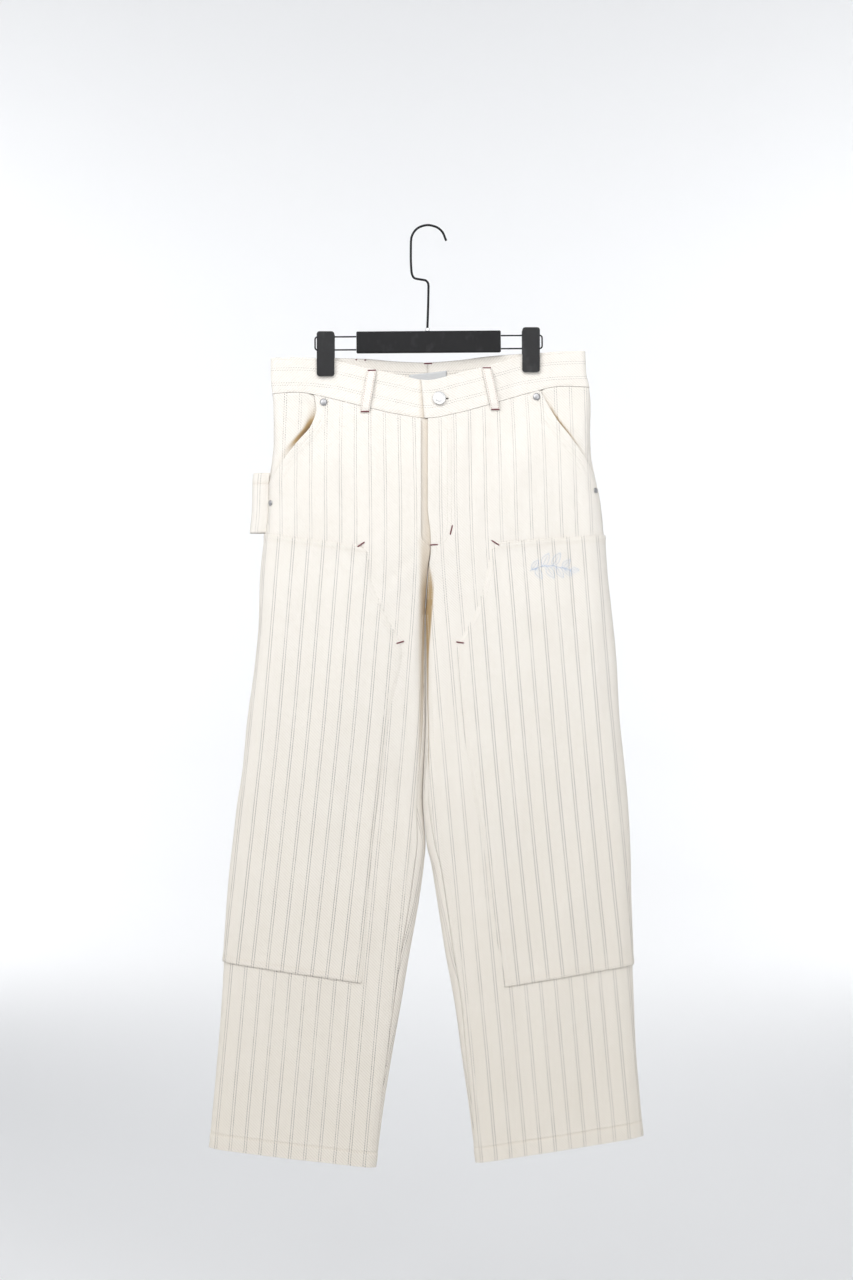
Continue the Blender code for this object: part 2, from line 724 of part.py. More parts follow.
def turned(name, profile, material, steps, matrix):
    """A turned solid from (radius, height) points that run down its outer side."""
    mesh = bpy.data.meshes.new(name)
    points = [(radius * MM, 0, height * MM) for radius, height in profile]
    mesh.from_pydata(points, [(i, i + 1) for i in range(len(points) - 1)], [])
    obj = put(mesh, name, material)
    obj.matrix_world = matrix
    screw = obj.modifiers.new("Turn", "SCREW")
    screw.steps = steps
    screw.render_steps = steps
    screw.use_merge_vertices = True
    screw.merge_threshold = 0.00001
    screw.use_smooth_shade = True
    return obj


def standing_on(point, normal):
    """A frame whose Z axis is the normal at a point in millimetres."""
    turn = normal.to_track_quat("Z", "X").to_matrix().to_4x4()
    return Matrix.Translation(point * MM) @ turn


def build_rivets(steel):
    profile = [(0, RIVET_HEIGHT), (2.2, 1.4), (3.6, 1.1), (RIVET_RADIUS, 0.45), (RIVET_RADIUS, 0)]
    profile.append((0, 0))
    for rivet in RIVETS:
        turn = turn_at(rivet.side, rivet.out, rivet.down)
        point = ring(rivet.side, turn, rivet.down)
        point.y -= gape(rivet.side, turn, rivet.down)
        normal = ring_normal(rivet.side, turn, rivet.down)
        seat = standing_on(point + normal * RIVET_SEAT, normal)
        turned(rivet.name, profile, steel, 16, seat)
    for rivet in SIDE_RIVETS:
        point = ring(rivet.side, SIDE_RIVET_TURN, rivet.down)
        normal = ring_normal(rivet.side, SIDE_RIVET_TURN, rivet.down)
        small = [(radius * 0.75, height) for radius, height in profile]
        turned(rivet.name, small, steel, 16, standing_on(point + normal * SIDE_RIVET_SEAT, normal))


def build_button(steel):
    """A shank button. Its plate has a raised rim and stands on a short shank."""
    rim, plate = BUTTON_RADIUS, 3.4
    profile = [
        (0, plate + 0.4),
        (3.6, plate + 0.3),
        (5.6, plate - 0.2),
        (6.3, plate + 0.4),
        (7.6, plate + 0.6),
        (rim, plate - 0.1),
        (rim - 0.3, plate - 1.3),
        (3.0, plate - 1.9),
        (2.6, 0),
        (0, 0),
    ]
    point = torso_point(BUTTON_X, FRONT, BUTTON_DOWN, BAND_PROUD)
    normal = torso_point(BUTTON_X, FRONT, BUTTON_DOWN, BAND_PROUD + 1) - point
    turned("button", profile, steel, 20, standing_on(point + normal * (GAP + 0.05), normal))


def build_label(grey):
    """A plain label on the inside of the back of the waistband."""
    columns, rows = 4, 1
    grid = []
    for j in range(rows + 1):
        down = LABEL_TOP + (LABEL_BOTTOM - LABEL_TOP) * j / rows
        row = []
        for i in range(columns + 1):
            x = LABEL_WIDTH * (i / columns - 0.5)
            row.append(torso_point(x, BACK, down, BAND_PROUD - BAND_CLOTH - GAP - 0.35))
        grid.append(row)
    wall("label", grid, LABEL_THICK, grey, flip=False)


def tube(name, points, radius, material):
    """A wire with filled ends, through points in millimetres."""
    data = bpy.data.curves.new(name, "CURVE")
    data.dimensions = "3D"
    data.bevel_depth = radius * MM
    data.bevel_resolution = 2
    data.use_fill_caps = True
    spline = data.splines.new("POLY")
    spline.points.add(len(points) - 1)
    for target, point in zip(spline.points, points):
        target.co = (*(point * MM), 1)
    data.materials.append(material)
    obj = bpy.data.objects.new(name, data)
    GARMENT.objects.link(obj)
    return obj


def hanger_frame():
    """The bar and the wires share one slight tilt about the bar's middle."""
    middle = Matrix.Translation(Vector((0.7, 0, -BAR_DOWN)))
    return middle @ Matrix.Rotation(-BAR_TILT, 4, "Y")


def build_bar(black):
    bpy.ops.mesh.primitive_cube_add(size=1)
    bar = bpy.context.active_object
    bar.name = "hanger_bar"
    bar.scale = (BAR_LENGTH * MM, BAR_DEPTH * MM, BAR_HEIGHT * MM)
    bpy.ops.object.transform_apply(location=False, rotation=False, scale=True)
    frame = hanger_frame()
    frame.translation *= MM
    bar.matrix_world = frame
    bar.data.materials.append(black)
    for collection in list(bar.users_collection):
        collection.objects.unlink(bar)
    GARMENT.objects.link(bar)
    bevel = bar.modifiers.new("Rounded edges", "BEVEL")
    bevel.width = 1.4 * MM
    bevel.segments = 2
    bevel.limit_method = "ANGLE"


def build_wires(steel):
    """One bent wire on each side: out along the top, round, and back along the bottom."""
    frame = hanger_frame()
    high, low = BAR_DOWN - WIRE_HIGH, BAR_DOWN - WIRE_LOW
    for side, sign in SIDES.items():
        start = BAR_LENGTH / 2 + GAP
        corner = WIRE_END - WIRE_BEND
        flat = [(start, high), ((start + corner) / 2, high)]
        for step in range(5):
            angle = math.pi / 2 * (1 - step / 4)
            x = corner + WIRE_BEND * math.cos(angle)
            flat.append((x, high - WIRE_BEND + WIRE_BEND * math.sin(angle)))
        for step in range(5):
            angle = math.pi / 2 * step / 4
            x = corner + WIRE_BEND * math.cos(angle)
            flat.append((x, low + WIRE_BEND - WIRE_BEND * math.sin(angle)))
        flat += [((start + corner) / 2, low), (start, low)]
        points = [frame @ Vector((sign * x, 0, z)) for x, z in flat]
        tube("hanger_wire_" + side, points, WIRE_RADIUS, steel)


def rounded_outline(width, height, corner):
    points = []
    for quarter in range(4):
        middle_x = (width / 2 - corner) * (1 if quarter in (0, 3) else -1)
        middle_y = (height / 2 - corner) * (1 if quarter in (0, 1) else -1)
        for step in range(5):
            angle = math.pi / 2 * (quarter + step / 4)
            points.append((middle_x + corner * math.cos(angle), middle_y + corner * math.sin(angle)))
    return points


def build_clips(black, steel):
    """Each clip has two jaws, which lean together at the band, and a spring on the low wire."""
    lean = math.atan2(JAW_SPREAD, CLIP_HEIGHT)
    for clip in CLIPS:
        sign = SIDES[clip.side]
        for face, word in ((FRONT, "front"), (BACK, "back")):
            name = "clip_jaw_" + word + "_" + clip.side
            data = bpy.data.curves.new(name, "CURVE")
            data.dimensions = "2D"
            data.fill_mode = "BOTH"
            data.extrude = CLIP_THICK / 2 * MM
            spline = data.splines.new("POLY")
            outline = rounded_outline(CLIP_WIDTH, CLIP_HEIGHT, CLIP_CORNER)
            spline.points.add(len(outline) - 1)
            for target, (x, y) in zip(spline.points, outline):
                target.co = (x * MM, y * MM, 0, 1)
            spline.use_cyclic_u = True
            data.materials.append(black)
            jaw = bpy.data.objects.new(name, data)
            GARMENT.objects.link(jaw)
            y = face * (JAW_GRIP + JAW_SPREAD / 2 + CLIP_THICK / 2)
            z = -(clip.top + CLIP_HEIGHT / 2)
            upright = Matrix.Rotation(math.pi / 2 - face * lean, 4, "X")
            jaw.matrix_world = Matrix.Translation(Vector((sign * clip.middle, y, z)) * MM) @ upright
        build_spring(clip, steel)


def build_spring(clip, steel):
    sign = SIDES[clip.side]
    middle = hanger_frame() @ Vector((sign * clip.middle - 0.7, 0, BAR_DOWN - WIRE_LOW))
    share = (clip.top + CLIP_HEIGHT + middle.z) / CLIP_HEIGHT
    radius = JAW_GRIP + JAW_SPREAD * share - GAP - 0.15
    half = SPRING_LENGTH / 2
    profile = [(SPRING_BORE, half), (radius, half), (radius, -half), (SPRING_BORE, -half)]
    profile.append((SPRING_BORE, half))
    turn = Matrix.Rotation(math.pi / 2 - BAR_TILT, 4, "Y")
    turned("clip_spring_" + clip.side, profile, steel, 14, Matrix.Translation(middle * MM) @ turn)


def build_hook(black, steel):
    xs = curve_through([(i, x) for i, (x, _) in enumerate(HOOK_PATH)])
    zs = curve_through([(i, z) for i, (_, z) in enumerate(HOOK_PATH)])
    last = len(HOOK_PATH) - 1
    count = 44
    points = [Vector((xs(last * i / count), 0, zs(last * i / count))) for i in range(count + 1)]
    tube("hook", points, HOOK_RADIUS, black)
    top = HOOK_PATH[0][1] - GAP
    low = top - FERRULE_HEIGHT
    profile = [(0, top), (FERRULE_RADIUS - 0.6, top), (FERRULE_RADIUS, top - 0.6)]
    profile += [(FERRULE_RADIUS, low), (0, low)]
    seat = Matrix.Translation(Vector((HOOK_PATH[0][0], 0, 0)) * MM)
    turned("hook_ferrule", profile, steel, 16, seat)


clear_scene()
GARMENT = bpy.data.collections.new("carpenter_pants")
bpy.context.scene.collection.children.link(GARMENT)

STRIPED_CLOTH = finish("striped twill", (0.90, 0.87, 0.79), 0.9)
GREY_LABEL = finish("grey label", (0.60, 0.60, 0.60), 0.7)
BRIGHT_METAL = finish("bright metal", (0.72, 0.72, 0.72), 0.3, 1.0)
BLACK_PLASTIC = finish("black hanger", (0.02, 0.02, 0.022), 0.55)
BLACK_WIRE = finish("black wire", (0.03, 0.03, 0.03), 0.4, 1.0)

build_panels(STRIPED_CLOTH)
build_facings(STRIPED_CLOTH)
build_fly_shield(STRIPED_CLOTH)
build_waistband(STRIPED_CLOTH)
build_belt_loops(STRIPED_CLOTH)
build_tool_loop(STRIPED_CLOTH)
build_label(GREY_LABEL)
build_button(BRIGHT_METAL)
build_rivets(BRIGHT_METAL)
build_bar(BLACK_PLASTIC)
build_wires(BLACK_WIRE)
build_clips(BLACK_PLASTIC, BLACK_WIRE)
build_hook(BLACK_WIRE, BRIGHT_METAL)
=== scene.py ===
"""Carpenter pants on a clip hanger: the cloth, its sewing and the finish of every piece.

Lengths are in millimetres until a mesh is made. "Down" is the distance below the inside of
the hook, "out" is the distance from the middle line towards a side seam, and right and left
are the wearer's: the right leg is at -X. The front faces -Y.
"""

import math
from collections import namedtuple

import bpy
import numpy as np
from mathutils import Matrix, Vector


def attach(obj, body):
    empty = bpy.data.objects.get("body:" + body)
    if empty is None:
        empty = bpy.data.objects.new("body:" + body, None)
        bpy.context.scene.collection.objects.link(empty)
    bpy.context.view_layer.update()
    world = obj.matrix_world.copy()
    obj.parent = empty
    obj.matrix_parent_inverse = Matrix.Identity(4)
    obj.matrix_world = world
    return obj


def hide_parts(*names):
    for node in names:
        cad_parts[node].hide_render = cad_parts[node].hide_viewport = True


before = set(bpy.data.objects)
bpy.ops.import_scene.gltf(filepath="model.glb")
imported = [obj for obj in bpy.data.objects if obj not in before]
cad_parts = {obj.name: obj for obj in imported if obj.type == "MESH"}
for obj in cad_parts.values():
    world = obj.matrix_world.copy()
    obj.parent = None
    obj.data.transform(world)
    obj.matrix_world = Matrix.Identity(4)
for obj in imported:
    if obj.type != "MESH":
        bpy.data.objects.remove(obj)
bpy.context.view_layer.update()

MM = 0.001
SIDES = {"right": -1, "left": 1}
FRONT, BACK = -1, 1
FACES = {FRONT: "front", BACK: "back"}

CLOTH = 1.5
BAND_CLOTH = 2.5
BAND_PROUD = 0.6
KNEE_CLOTH = 1.3
LOOP_CLOTH = 1.6
STRAP_CLOTH = 1.8
GAP = 0.3
SEAM_GAP = 0.5
TILT = 0.022  # The garment hangs a little higher at the wearer's left.

# Sections of the two legs: the outlines seen from the front, and how deep each half is.
Section = namedtuple("Section", "down right_out right_in left_out left_in front back")
SECTIONS = [
    Section(165, 204.0, -4.0, 204.0, -4.0, 15.0, 15.0),
    Section(195, 203.5, -4.0, 205.0, -4.0, 15.5, 16.0),
    Section(215, 202.0, -4.0, 209.5, -4.0, 16.5, 18.0),
    Section(240, 201.0, -4.0, 211.5, -4.0, 18.0, 20.0),
    Section(275, 200.8, -4.0, 210.8, -4.0, 19.5, 22.5),
    Section(303, 203.3, -4.0, 212.0, -4.0, 20.5, 24.5),
    Section(330, 207.0, -4.0, 217.0, -4.0, 21.5, 26.0),
    Section(365, 208.0, -4.0, 224.0, -4.0, 22.0, 27.5),
    Section(403, 211.8, -4.0, 228.0, -4.0, 22.5, 28.0),
    Section(455, 217.0, 0.4, 231.6, -1.4, 22.0, 28.0),
    Section(510, 218.5, 3.7, 237.5, -3.6, 21.5, 27.0),
    Section(570, 224.2, 3.6, 243.3, -3.5, 21.0, 25.0),
    Section(640, 233.7, 3.5, 247.0, -3.4, 20.0, 23.0),
    Section(705, 240.0, 5.6, 253.6, -5.5, 19.0, 22.0),
    Section(745, 246.5, 6.9, 257.4, -6.8, 18.5, 21.0),
    Section(775, 250.0, 5.0, 259.5, -4.7, 18.0, 20.5),
    Section(803, 253.3, 3.2, 261.0, -1.9, 17.5, 20.0),
    Section(830, 256.5, 5.4, 261.9, 4.2, 17.0, 19.5),
    Section(876, 260.4, 11.7, 262.7, 11.6, 16.5, 19.0),
    Section(945, 265.0, 24.0, 265.3, 22.4, 16.0, 18.0),
    Section(1015, 269.0, 36.0, 267.4, 35.2, 15.5, 17.0),
    Section(1080, 274.3, 47.5, 270.4, 43.8, 15.0, 16.0),
    Section(1140, 279.8, 57.2, 275.4, 52.4, 14.5, 15.5),
    Section(1222, 287.0, 68.0, 282.5, 62.6, 14.0, 15.0),
]

# How deep the front and the back are at the waist: the clips pinch them together.
Waist = namedtuple("Waist", "out front back")
WAIST = [
    Waist(0, 15.0, 14.0),
    Waist(45, 13.0, 12.0),
    Waist(90, 8.5, 8.0),
    Waist(116, 3.7, 3.7),
    Waist(133, 3.4, 3.4),
    Waist(150, 3.7, 3.7),
    Waist(175, 5.4, 5.4),
    Waist(230, 5.4, 5.4),
]
WAIST_END, HIP_START = 200, 315
FORK_START, FORK_END = 412, 512
CROWN = 0.3  # How much shallower a section is beside its folds than at its middle.

# The width of the rounded fold at a side seam, down the leg, and of the fold at the inseam.
SIDE_FOLD = [(165, 8), (215, 9), (300, 20), (420, 26), (1222, 24)]
INNER_FOLD = 15

# The waistband's edges. Its bottom edge is also the top edge of the panels below it.
BandEdge = namedtuple("BandEdge", "out front_top front_low back_top back_low")
BAND_EDGES = [
    BandEdge(-40, 193.0, 245.0, 173.6, 223.0),
    BandEdge(0, 201.5, 250.9, 175.5, 225.0),
    BandEdge(40, 193.0, 244.6, 173.6, 223.0),
    BandEdge(82, 183.0, 234.0, 169.6, 219.0),
    BandEdge(126, 171.6, 221.6, 168.2, 217.4),
    BandEdge(172, 167.2, 212.6, 167.0, 215.4),
    BandEdge(215, 167.0, 214.8, 167.0, 214.8),
]
BAND_OVERLAP, BAND_UNDERLAP, BAND_LEAN, BACK_SEAM = 6.8, 30, 4.7, 0.0
LAP_SHADE = 0.35
UNDERLAP_START, UNDERLAP_FULL, UNDERLAP_INSET = 66, 28, 3.0

# The edge of each front at the fly. The left front lies over the shield of the right one.
FlyEdge = namedtuple("FlyEdge", "down right left")
FLY_EDGES = [
    FlyEdge(165, 9.0, -0.4),
    FlyEdge(367, 9.0, -0.4),
    FlyEdge(394, 9.0, 2.6),
    FlyEdge(405, 8.6, 3.4),
    FlyEdge(420, -3.2, 3.7),
    FlyEdge(445, -0.3, 0.8),
    FlyEdge(470, 1.9, -1.3),
    FlyEdge(496, 3.8, -2.6),
]
FLY_END = 496
SHIELD_RIGHT, SHIELD_LEFT, SHIELD_INSET = -24, 34, 2.5
SHIELD_BOTTOM = 428
SHIELD_SHADE = 0.40

# Pocket mouths, cut from the outer top corner of each front.
Mouth = namedtuple("Mouth", "down right left")
MOUTHS = [
    Mouth(210, 150.0, 141.5),
    Mouth(222, 146.8, 148.0),
    Mouth(235, 145.0, 155.0),
    Mouth(256, 151.0, 167.0),
    Mouth(279, 170.2, 184.5),
    Mouth(296, 183.8, 196.5),
    Mouth(318, 199.6, 210.5),
    Mouth(332, 206.6, 216.6),
]
MOUTH_END = 332
GAPE_START, GAPE_MIDDLE, GAPE_LENGTH, GAPE_REACH = 234, 268, 32, 34
GAPE = {"right": 3.4, "left": 2.4}
FACING_UNDER, FACING_END = 40, 347
FACING_INSET, FACING_RISE = 2.1, 1.3
# The shade inside each mouth: where it is deepest, how long and how wide it is, and how dark.
Shade = namedtuple("Shade", "down length width depth")
MOUTH_SHADE = {"right": Shade(263, 20, 12, 1.6), "left": Shade(262, 24, 4.5, 1.25)}

# The inner edge of each double-knee panel, with a corner that points at the inseam.
KneeEdge = namedtuple("KneeEdge", "down right left")
KNEE_UPPER = [
    KneeEdge(250, 84.0, 84.0),
    KneeEdge(414, 87.0, 87.0),
    KneeEdge(424, 78.0, 82.0),
    KneeEdge(451, 75.2, 76.0),
    KneeEdge(487, 62.6, 67.0),
    KneeEdge(517, 48.2, 54.8),
    KneeEdge(541, 35.6, 38.8),
]
KNEE_LOWER = [
    KneeEdge(541, 35.6, 38.8),
    KneeEdge(552, 34.2, 37.2),
    KneeEdge(636, 50.7, 43.8),
    KneeEdge(719, 61.1, 55.8),
    KneeEdge(812, 72.8, 72.4),
    KneeEdge(905, 79.3, 85.4),
    KneeEdge(985, 86.2, 98.4),
    KneeEdge(1222, 112.0, 122.0),
]

# How far the inseam has turned to the front of the leg.
INSEAM_TURN = [(496, 0.0), (600, 2), (740, 7), (840, 12), (950, 11), (1080, 6), (1222, 0.6)]

# The shade in the groove between the thighs: where the left leg's edge is, and how dark it is.
Groove = namedtuple("Groove", "down edge depth")
GROOVES = [
    Groove(396, -2.0, 0.0),
    Groove(414, -2.0, 0.50),
    Groove(440, 1.0, 0.62),
    Groove(460, 5.4, 0.78),
    Groove(473, 6.9, 0.92),
    Groove(500, 5.2, 0.98),
    Groove(525, 3.3, 0.98),
    Groove(564, 0.8, 0.94),
    Groove(616, 0.3, 0.86),
    Groove(662, 1.0, 0.80),
    Groove(700, 0.6, 0.70),
    Groove(733, -5.0, 0.34),
    Groove(759, -6.0, 0.30),
    Groove(802, -1.0, 0.24),
    Groove(840, -1.0, 0.0),
]
GROOVE_START, GROOVE_FULL = 14.0, 5.5

# Lines across a leg, and how many rows of faces lie between each and the next.
Line = namedtuple("Line", "name rows right_out right_in left_out left_in")
TOP_LINE = Line("waist", 42, None, None, None, None)
LINES = [
    Line("pocket", 24, 331, 350, 331, 350),
    Line("knee_top", 44, 395.7, 427.5, 406.8, 418.6),
    Line("knee_corner", 60, 528, 542.5, 533, 547.5),
    Line("parting", 46, 786, 806, 790, 806),
    Line("knee_bottom", 60, 949.7, 989.4, 965.3, 999.0),
    Line("hem_sewing", 16, 1171.5, 1202.0, 1168.8, 1198.8),
    Line("hem", 0, 1190.5, 1221.0, 1187.8, 1217.8),
]
KNEE_TOP, KNEE_BOTTOM, HEM = LINES[1], LINES[4], LINES[6]
COLUMNS_TO_KNEE, COLUMNS_PAST_KNEE, BACK_COLUMNS = 62, 34, 84
SEAM_COLUMN = 0.9  # The narrow column beside a seam, which squares up the cut edges.
KNEE_EDGE_COLUMNS = (12.0, 10.2, 9.0, 7.8, 6.8, 5.6, 4.0, 2.8, 1.8, 1.0, 0.4, 0.0)
ROW_PULL = 0.75  # How much closer the rows lie beside each line, where the cloth is sewn.

# Soft folds: a line from one point to another, its height and its width. A trough is negative.
Fold = namedtuple("Fold", "face x down to_x to_down height width")
FOLDS = [
    Fold(FRONT, -132, 215, -126, 330, 2.6, 14),
    Fold(FRONT, -104, 232, -92, 400, -2.0, 15),
    Fold(FRONT, -14, 255, -13, 405, 1.3, 7),
    Fold(FRONT, 62, 245, 60, 330, -2.4, 9),
    Fold(FRONT, 134, 212, 120, 345, 2.6, 14),
    Fold(FRONT, 192, 250, 212, 305, -2.2, 8),
    Fold(FRONT, 110, 470, 178, 640, 2.0, 20),
    Fold(FRONT, -90, 520, -150, 700, 1.8, 22),
    Fold(FRONT, 225, 520, 236, 640, -3.0, 9),
    Fold(FRONT, 60, 640, 96, 860, 2.0, 18),
    Fold(FRONT, -70, 620, -120, 850, -2.0, 18),
    Fold(FRONT, -215, 820, -170, 1010, 2.2, 22),
    Fold(FRONT, 205, 830, 150, 1060, 2.0, 22),
    Fold(FRONT, -120, 1010, -135, 1200, -1.8, 16),
    Fold(FRONT, 120, 1030, 128, 1200, -1.8, 16),
    Fold(BACK, -132, 215, -118, 360, 3.0, 15),
    Fold(BACK, 133, 215, 122, 350, 3.0, 15),
    Fold(BACK, -60, 232, -66, 390, -2.6, 18),
    Fold(BACK, 58, 232, 70, 400, -2.6, 18),
    Fold(BACK, -30, 470, -150, 600, -2.4, 16),
    Fold(BACK, 30, 470, 160, 590, -2.4, 16),
    Fold(BACK, -190, 620, -120, 860, 2.4, 22),
    Fold(BACK, 190, 600, 130, 850, 2.4, 22),
    Fold(BACK, -140, 900, -165, 1180, -2.2, 20),
    Fold(BACK, 150, 920, 170, 1180, -2.2, 20),
]
# Smaller creases: under the band, at the hips, at the fly's foot and down the legs.
CREASES = [
    Fold(FRONT, -158, 226, -150, 262, -0.9, 5),
    Fold(FRONT, -84, 250, -80, 300, 0.9, 6),
    Fold(FRONT, -55, 262, -52, 345, -0.8, 8),
    Fold(FRONT, -34, 258, -38, 372, 0.9, 8),
    Fold(FRONT, 22, 262, 27, 330, 0.7, 6),
    Fold(FRONT, 46, 250, 47, 290, 0.9, 5),
    Fold(FRONT, 86, 252, 84, 345, -0.8, 7),
    Fold(FRONT, 104, 240, 108, 318, 0.8, 7),
    Fold(FRONT, 193, 245, 211, 303, 1.1, 4),
    Fold(FRONT, 203, 322, 213, 352, -1.3, 5),
    Fold(FRONT, 178, 330, 214, 380, 0.8, 7),
    Fold(FRONT, -196, 318, -150, 372, 0.8, 9),
    Fold(FRONT, -20, 430, -62, 470, -1.0, 7),
    Fold(FRONT, -26, 448, -70, 505, 0.9, 8),
    Fold(FRONT, 22, 436, 60, 470, -1.0, 7),
    Fold(FRONT, 20, 455, 58, 512, 0.9, 8),
    Fold(FRONT, -12, 470, -24, 590, 1.4, 7),
    Fold(FRONT, 14, 475, 20, 600, 1.4, 7),
    Fold(FRONT, 222, 520, 232, 610, 1.2, 5),
    Fold(FRONT, -205, 470, -214, 610, 0.9, 9),
    Fold(FRONT, -130, 450, -142, 560, -0.8, 12),
    Fold(FRONT, -60, 560, -78, 660, 0.8, 10),
    Fold(FRONT, -185, 600, -196, 720, -0.8, 12),
    Fold(FRONT, -28, 640, -36, 760, -1.1, 8),
    Fold(FRONT, 26, 650, 34, 770, -1.1, 8),
    Fold(FRONT, -105, 700, -125, 800, 0.7, 12),
    Fold(FRONT, 90, 560, 104, 660, -0.8, 12),
    Fold(FRONT, 190, 640, 206, 760, 0.8, 12),
    Fold(FRONT, 130, 720, 146, 820, -0.8, 12),
    Fold(FRONT, -170, 760, -186, 880, -0.7, 12),
    Fold(FRONT, 226, 780, 238, 900, -0.8, 9),
    Fold(FRONT, -60, 850, -84, 960, 0.9, 10),
    Fold(FRONT, 64, 850, 82, 950, 0.9, 10),
    Fold(FRONT, -228, 900, -244, 1010, -0.8, 9),
    Fold(FRONT, 176, 900, 190, 1010, -0.8, 12),
    Fold(FRONT, -210, 1030, -222, 1150, 0.9, 10),
    Fold(FRONT, -160, 1060, -172, 1170, 0.7, 10),
    Fold(FRONT, -92, 1040, -104, 1150, 0.8, 9),
    Fold(FRONT, 96, 1050, 108, 1160, 0.8, 9),
    Fold(FRONT, 180, 1060, 190, 1180, 0.9, 10),
    Fold(FRONT, 236, 1020, 246, 1130, -0.8, 10),
    Fold(BACK, -96, 222, -88, 290, 1.1, 7),
    Fold(BACK, 92, 222, 90, 300, 1.1, 7),
    Fold(BACK, -30, 240, -34, 330, 0.9, 9),
    Fold(BACK, 28, 240, 36, 320, 0.9, 9),
    Fold(BACK, -160, 320, -110, 420, -1.0, 11),
    Fold(BACK, 165, 320, 108, 430, -1.0, 11),
    Fold(BACK, -16, 430, -90, 500, 1.4, 9),
    Fold(BACK, 16, 430, 92, 495, 1.4, 9),
    Fold(BACK, -20, 490, -80, 580, -1.2, 9),
    Fold(BACK, 20, 490, 84, 575, -1.2, 9),
    Fold(BACK, -90, 640, -130, 760, 0.9, 12),
    Fold(BACK, 96, 650, 128, 770, 0.9, 12),
    Fold(BACK, -60, 780, -150, 850, -1.1, 12),
    Fold(BACK, 66, 790, 156, 850, -1.1, 12),
    Fold(BACK, -210, 760, -120, 830, 1.0, 11),
    Fold(BACK, 212, 770, 120, 835, 1.0, 11),
    Fold(BACK, -200, 900, -214, 1040, 0.9, 12),
    Fold(BACK, 205, 930, 216, 1050, 0.9, 12),
    Fold(BACK, -100, 1020, -112, 1150, 0.9, 10),
    Fold(BACK, 104, 1010, 116, 1160, 0.9, 10),
    Fold(BACK, -230, 1080, -236, 1180, -0.8, 9),
    Fold(BACK, 228, 1090, 236, 1180, -0.8, 9),
]

# Where one stripe runs down each panel. The others lie a pitch apart, measured on the cloth.
STRIPE_PITCH = 19.5
GRAIN = {
    "front_right": [(165, -75.8), (252, -75.4), (395, -74.1), (600, -86), (990, -121.7), (1222, -142)],
    "front_left": [(165, 104), (269, 110.8), (402, 114.7), (600, 130), (990, 165), (1222, 186)],
    "knee_right": [(380, -133), (411, -135.2), (632, -153.1), (800, -170.7), (1000, -193)],
    "knee_left": [(380, 120), (421, 123.2), (720, 148.2), (1000, 177)],
    "back_right": [(165, -84), (400, -88), (600, -104), (990, -142), (1222, -164)],
    "back_left": [(165, 84), (400, 88), (600, 104), (990, 142), (1222, 164)],
}

# Belt loops: the place of each end on the band and how far it stands off at its middle.
Loop = namedtuple("Loop", "name face x down to_x to_down")
BELT_LOOPS = [
    Loop("belt_loop_front_right", FRONT, -72.3, 186.5, -81.6, 241.5),
    Loop("belt_loop_front_left", FRONT, 75.3, 186.5, 87.1, 242.5),
    Loop("belt_loop_back_right", BACK, -88, 170.5, -88, 227.5),
    Loop("belt_loop_back_middle", BACK, 0, 176.8, 0, 234),
    Loop("belt_loop_back_left", BACK, 88, 170.5, 88, 227.5),
]
LOOP_WIDTH, LOOP_STANDOFF = 12, 2.6
# Where the loops' threads show inside the back of the band, beside the loop's middle.
INSIDE_BARS = {"belt_loop_back_middle": [(-5.2, 5.2)], "belt_loop_back_right": [(-6.8, -4.8), (4.8, 6.8)]}

# The tool loop at the wearer's right: its path around the side, from the side seam's fold.
Strap = namedtuple("Strap", "out back")
STRAP_PATH = [
    Strap(0.4, -0.4),
    Strap(9.0, -2.4),
    Strap(16.4, -0.4),
    Strap(20.0, 6.0),
    Strap(18.6, 14.0),
    Strap(9.0, 20.6),
    Strap(-6.0, 22.2),
]
STRAP_TOP, STRAP_BOTTOM = 316.5, 394.0
STRAP_SEAT_START, STRAP_SEAT_END = -22, -38

LABEL_WIDTH, LABEL_TOP, LABEL_BOTTOM, LABEL_LEAN, LABEL_THICK = 49, 189.5, 210.0, 0.09, 0.8

# The size that each piece was cut to, in metres, and its flat area in square metres.
Cut = namedtuple("Cut", "width length area")

STITCH, STITCH_PITCH, STITCH_RADIUS = 2.4, 3.1, 0.30
# How far the rows of stitches lie from a felled seam, a pocket mouth, a knee panel's edges, the
# edges of the band, the fly's edge and its facing, and the edge of a hem or of the tool loop's hem.
SEAM_ROWS, MOUTH_ROWS, KNEE_ROWS = (1.8, 7.4), (9.6, 16.5), (1.8, 6.8)
FLY_ROWS, FLY_FACING_ROWS = (2.0, 7.0), (0.0, 5.0)
BAND_SEWING, HEM_SEWING, STRAP_HEM = 2.6, 19, 13.0
HEM_SHADE = 0.15
# Where the thighs press together, down the leg, how long that place is, and how far they shift.
PRESS, PRESS_SHIFT = (745, 60), 3.0
SETTLING = 14  # How often a grid's places are worked out again, until they hold still.


def smoothstep(start, end, value):
    part = np.clip((value - start) / (end - start), 0, 1)
    return part * part * (3 - 2 * part)


def hump(value, middle, width):
    """1 at the middle, and falling away to 0 on both sides of it."""
    return np.exp(-(((value - middle) / width) ** 2))


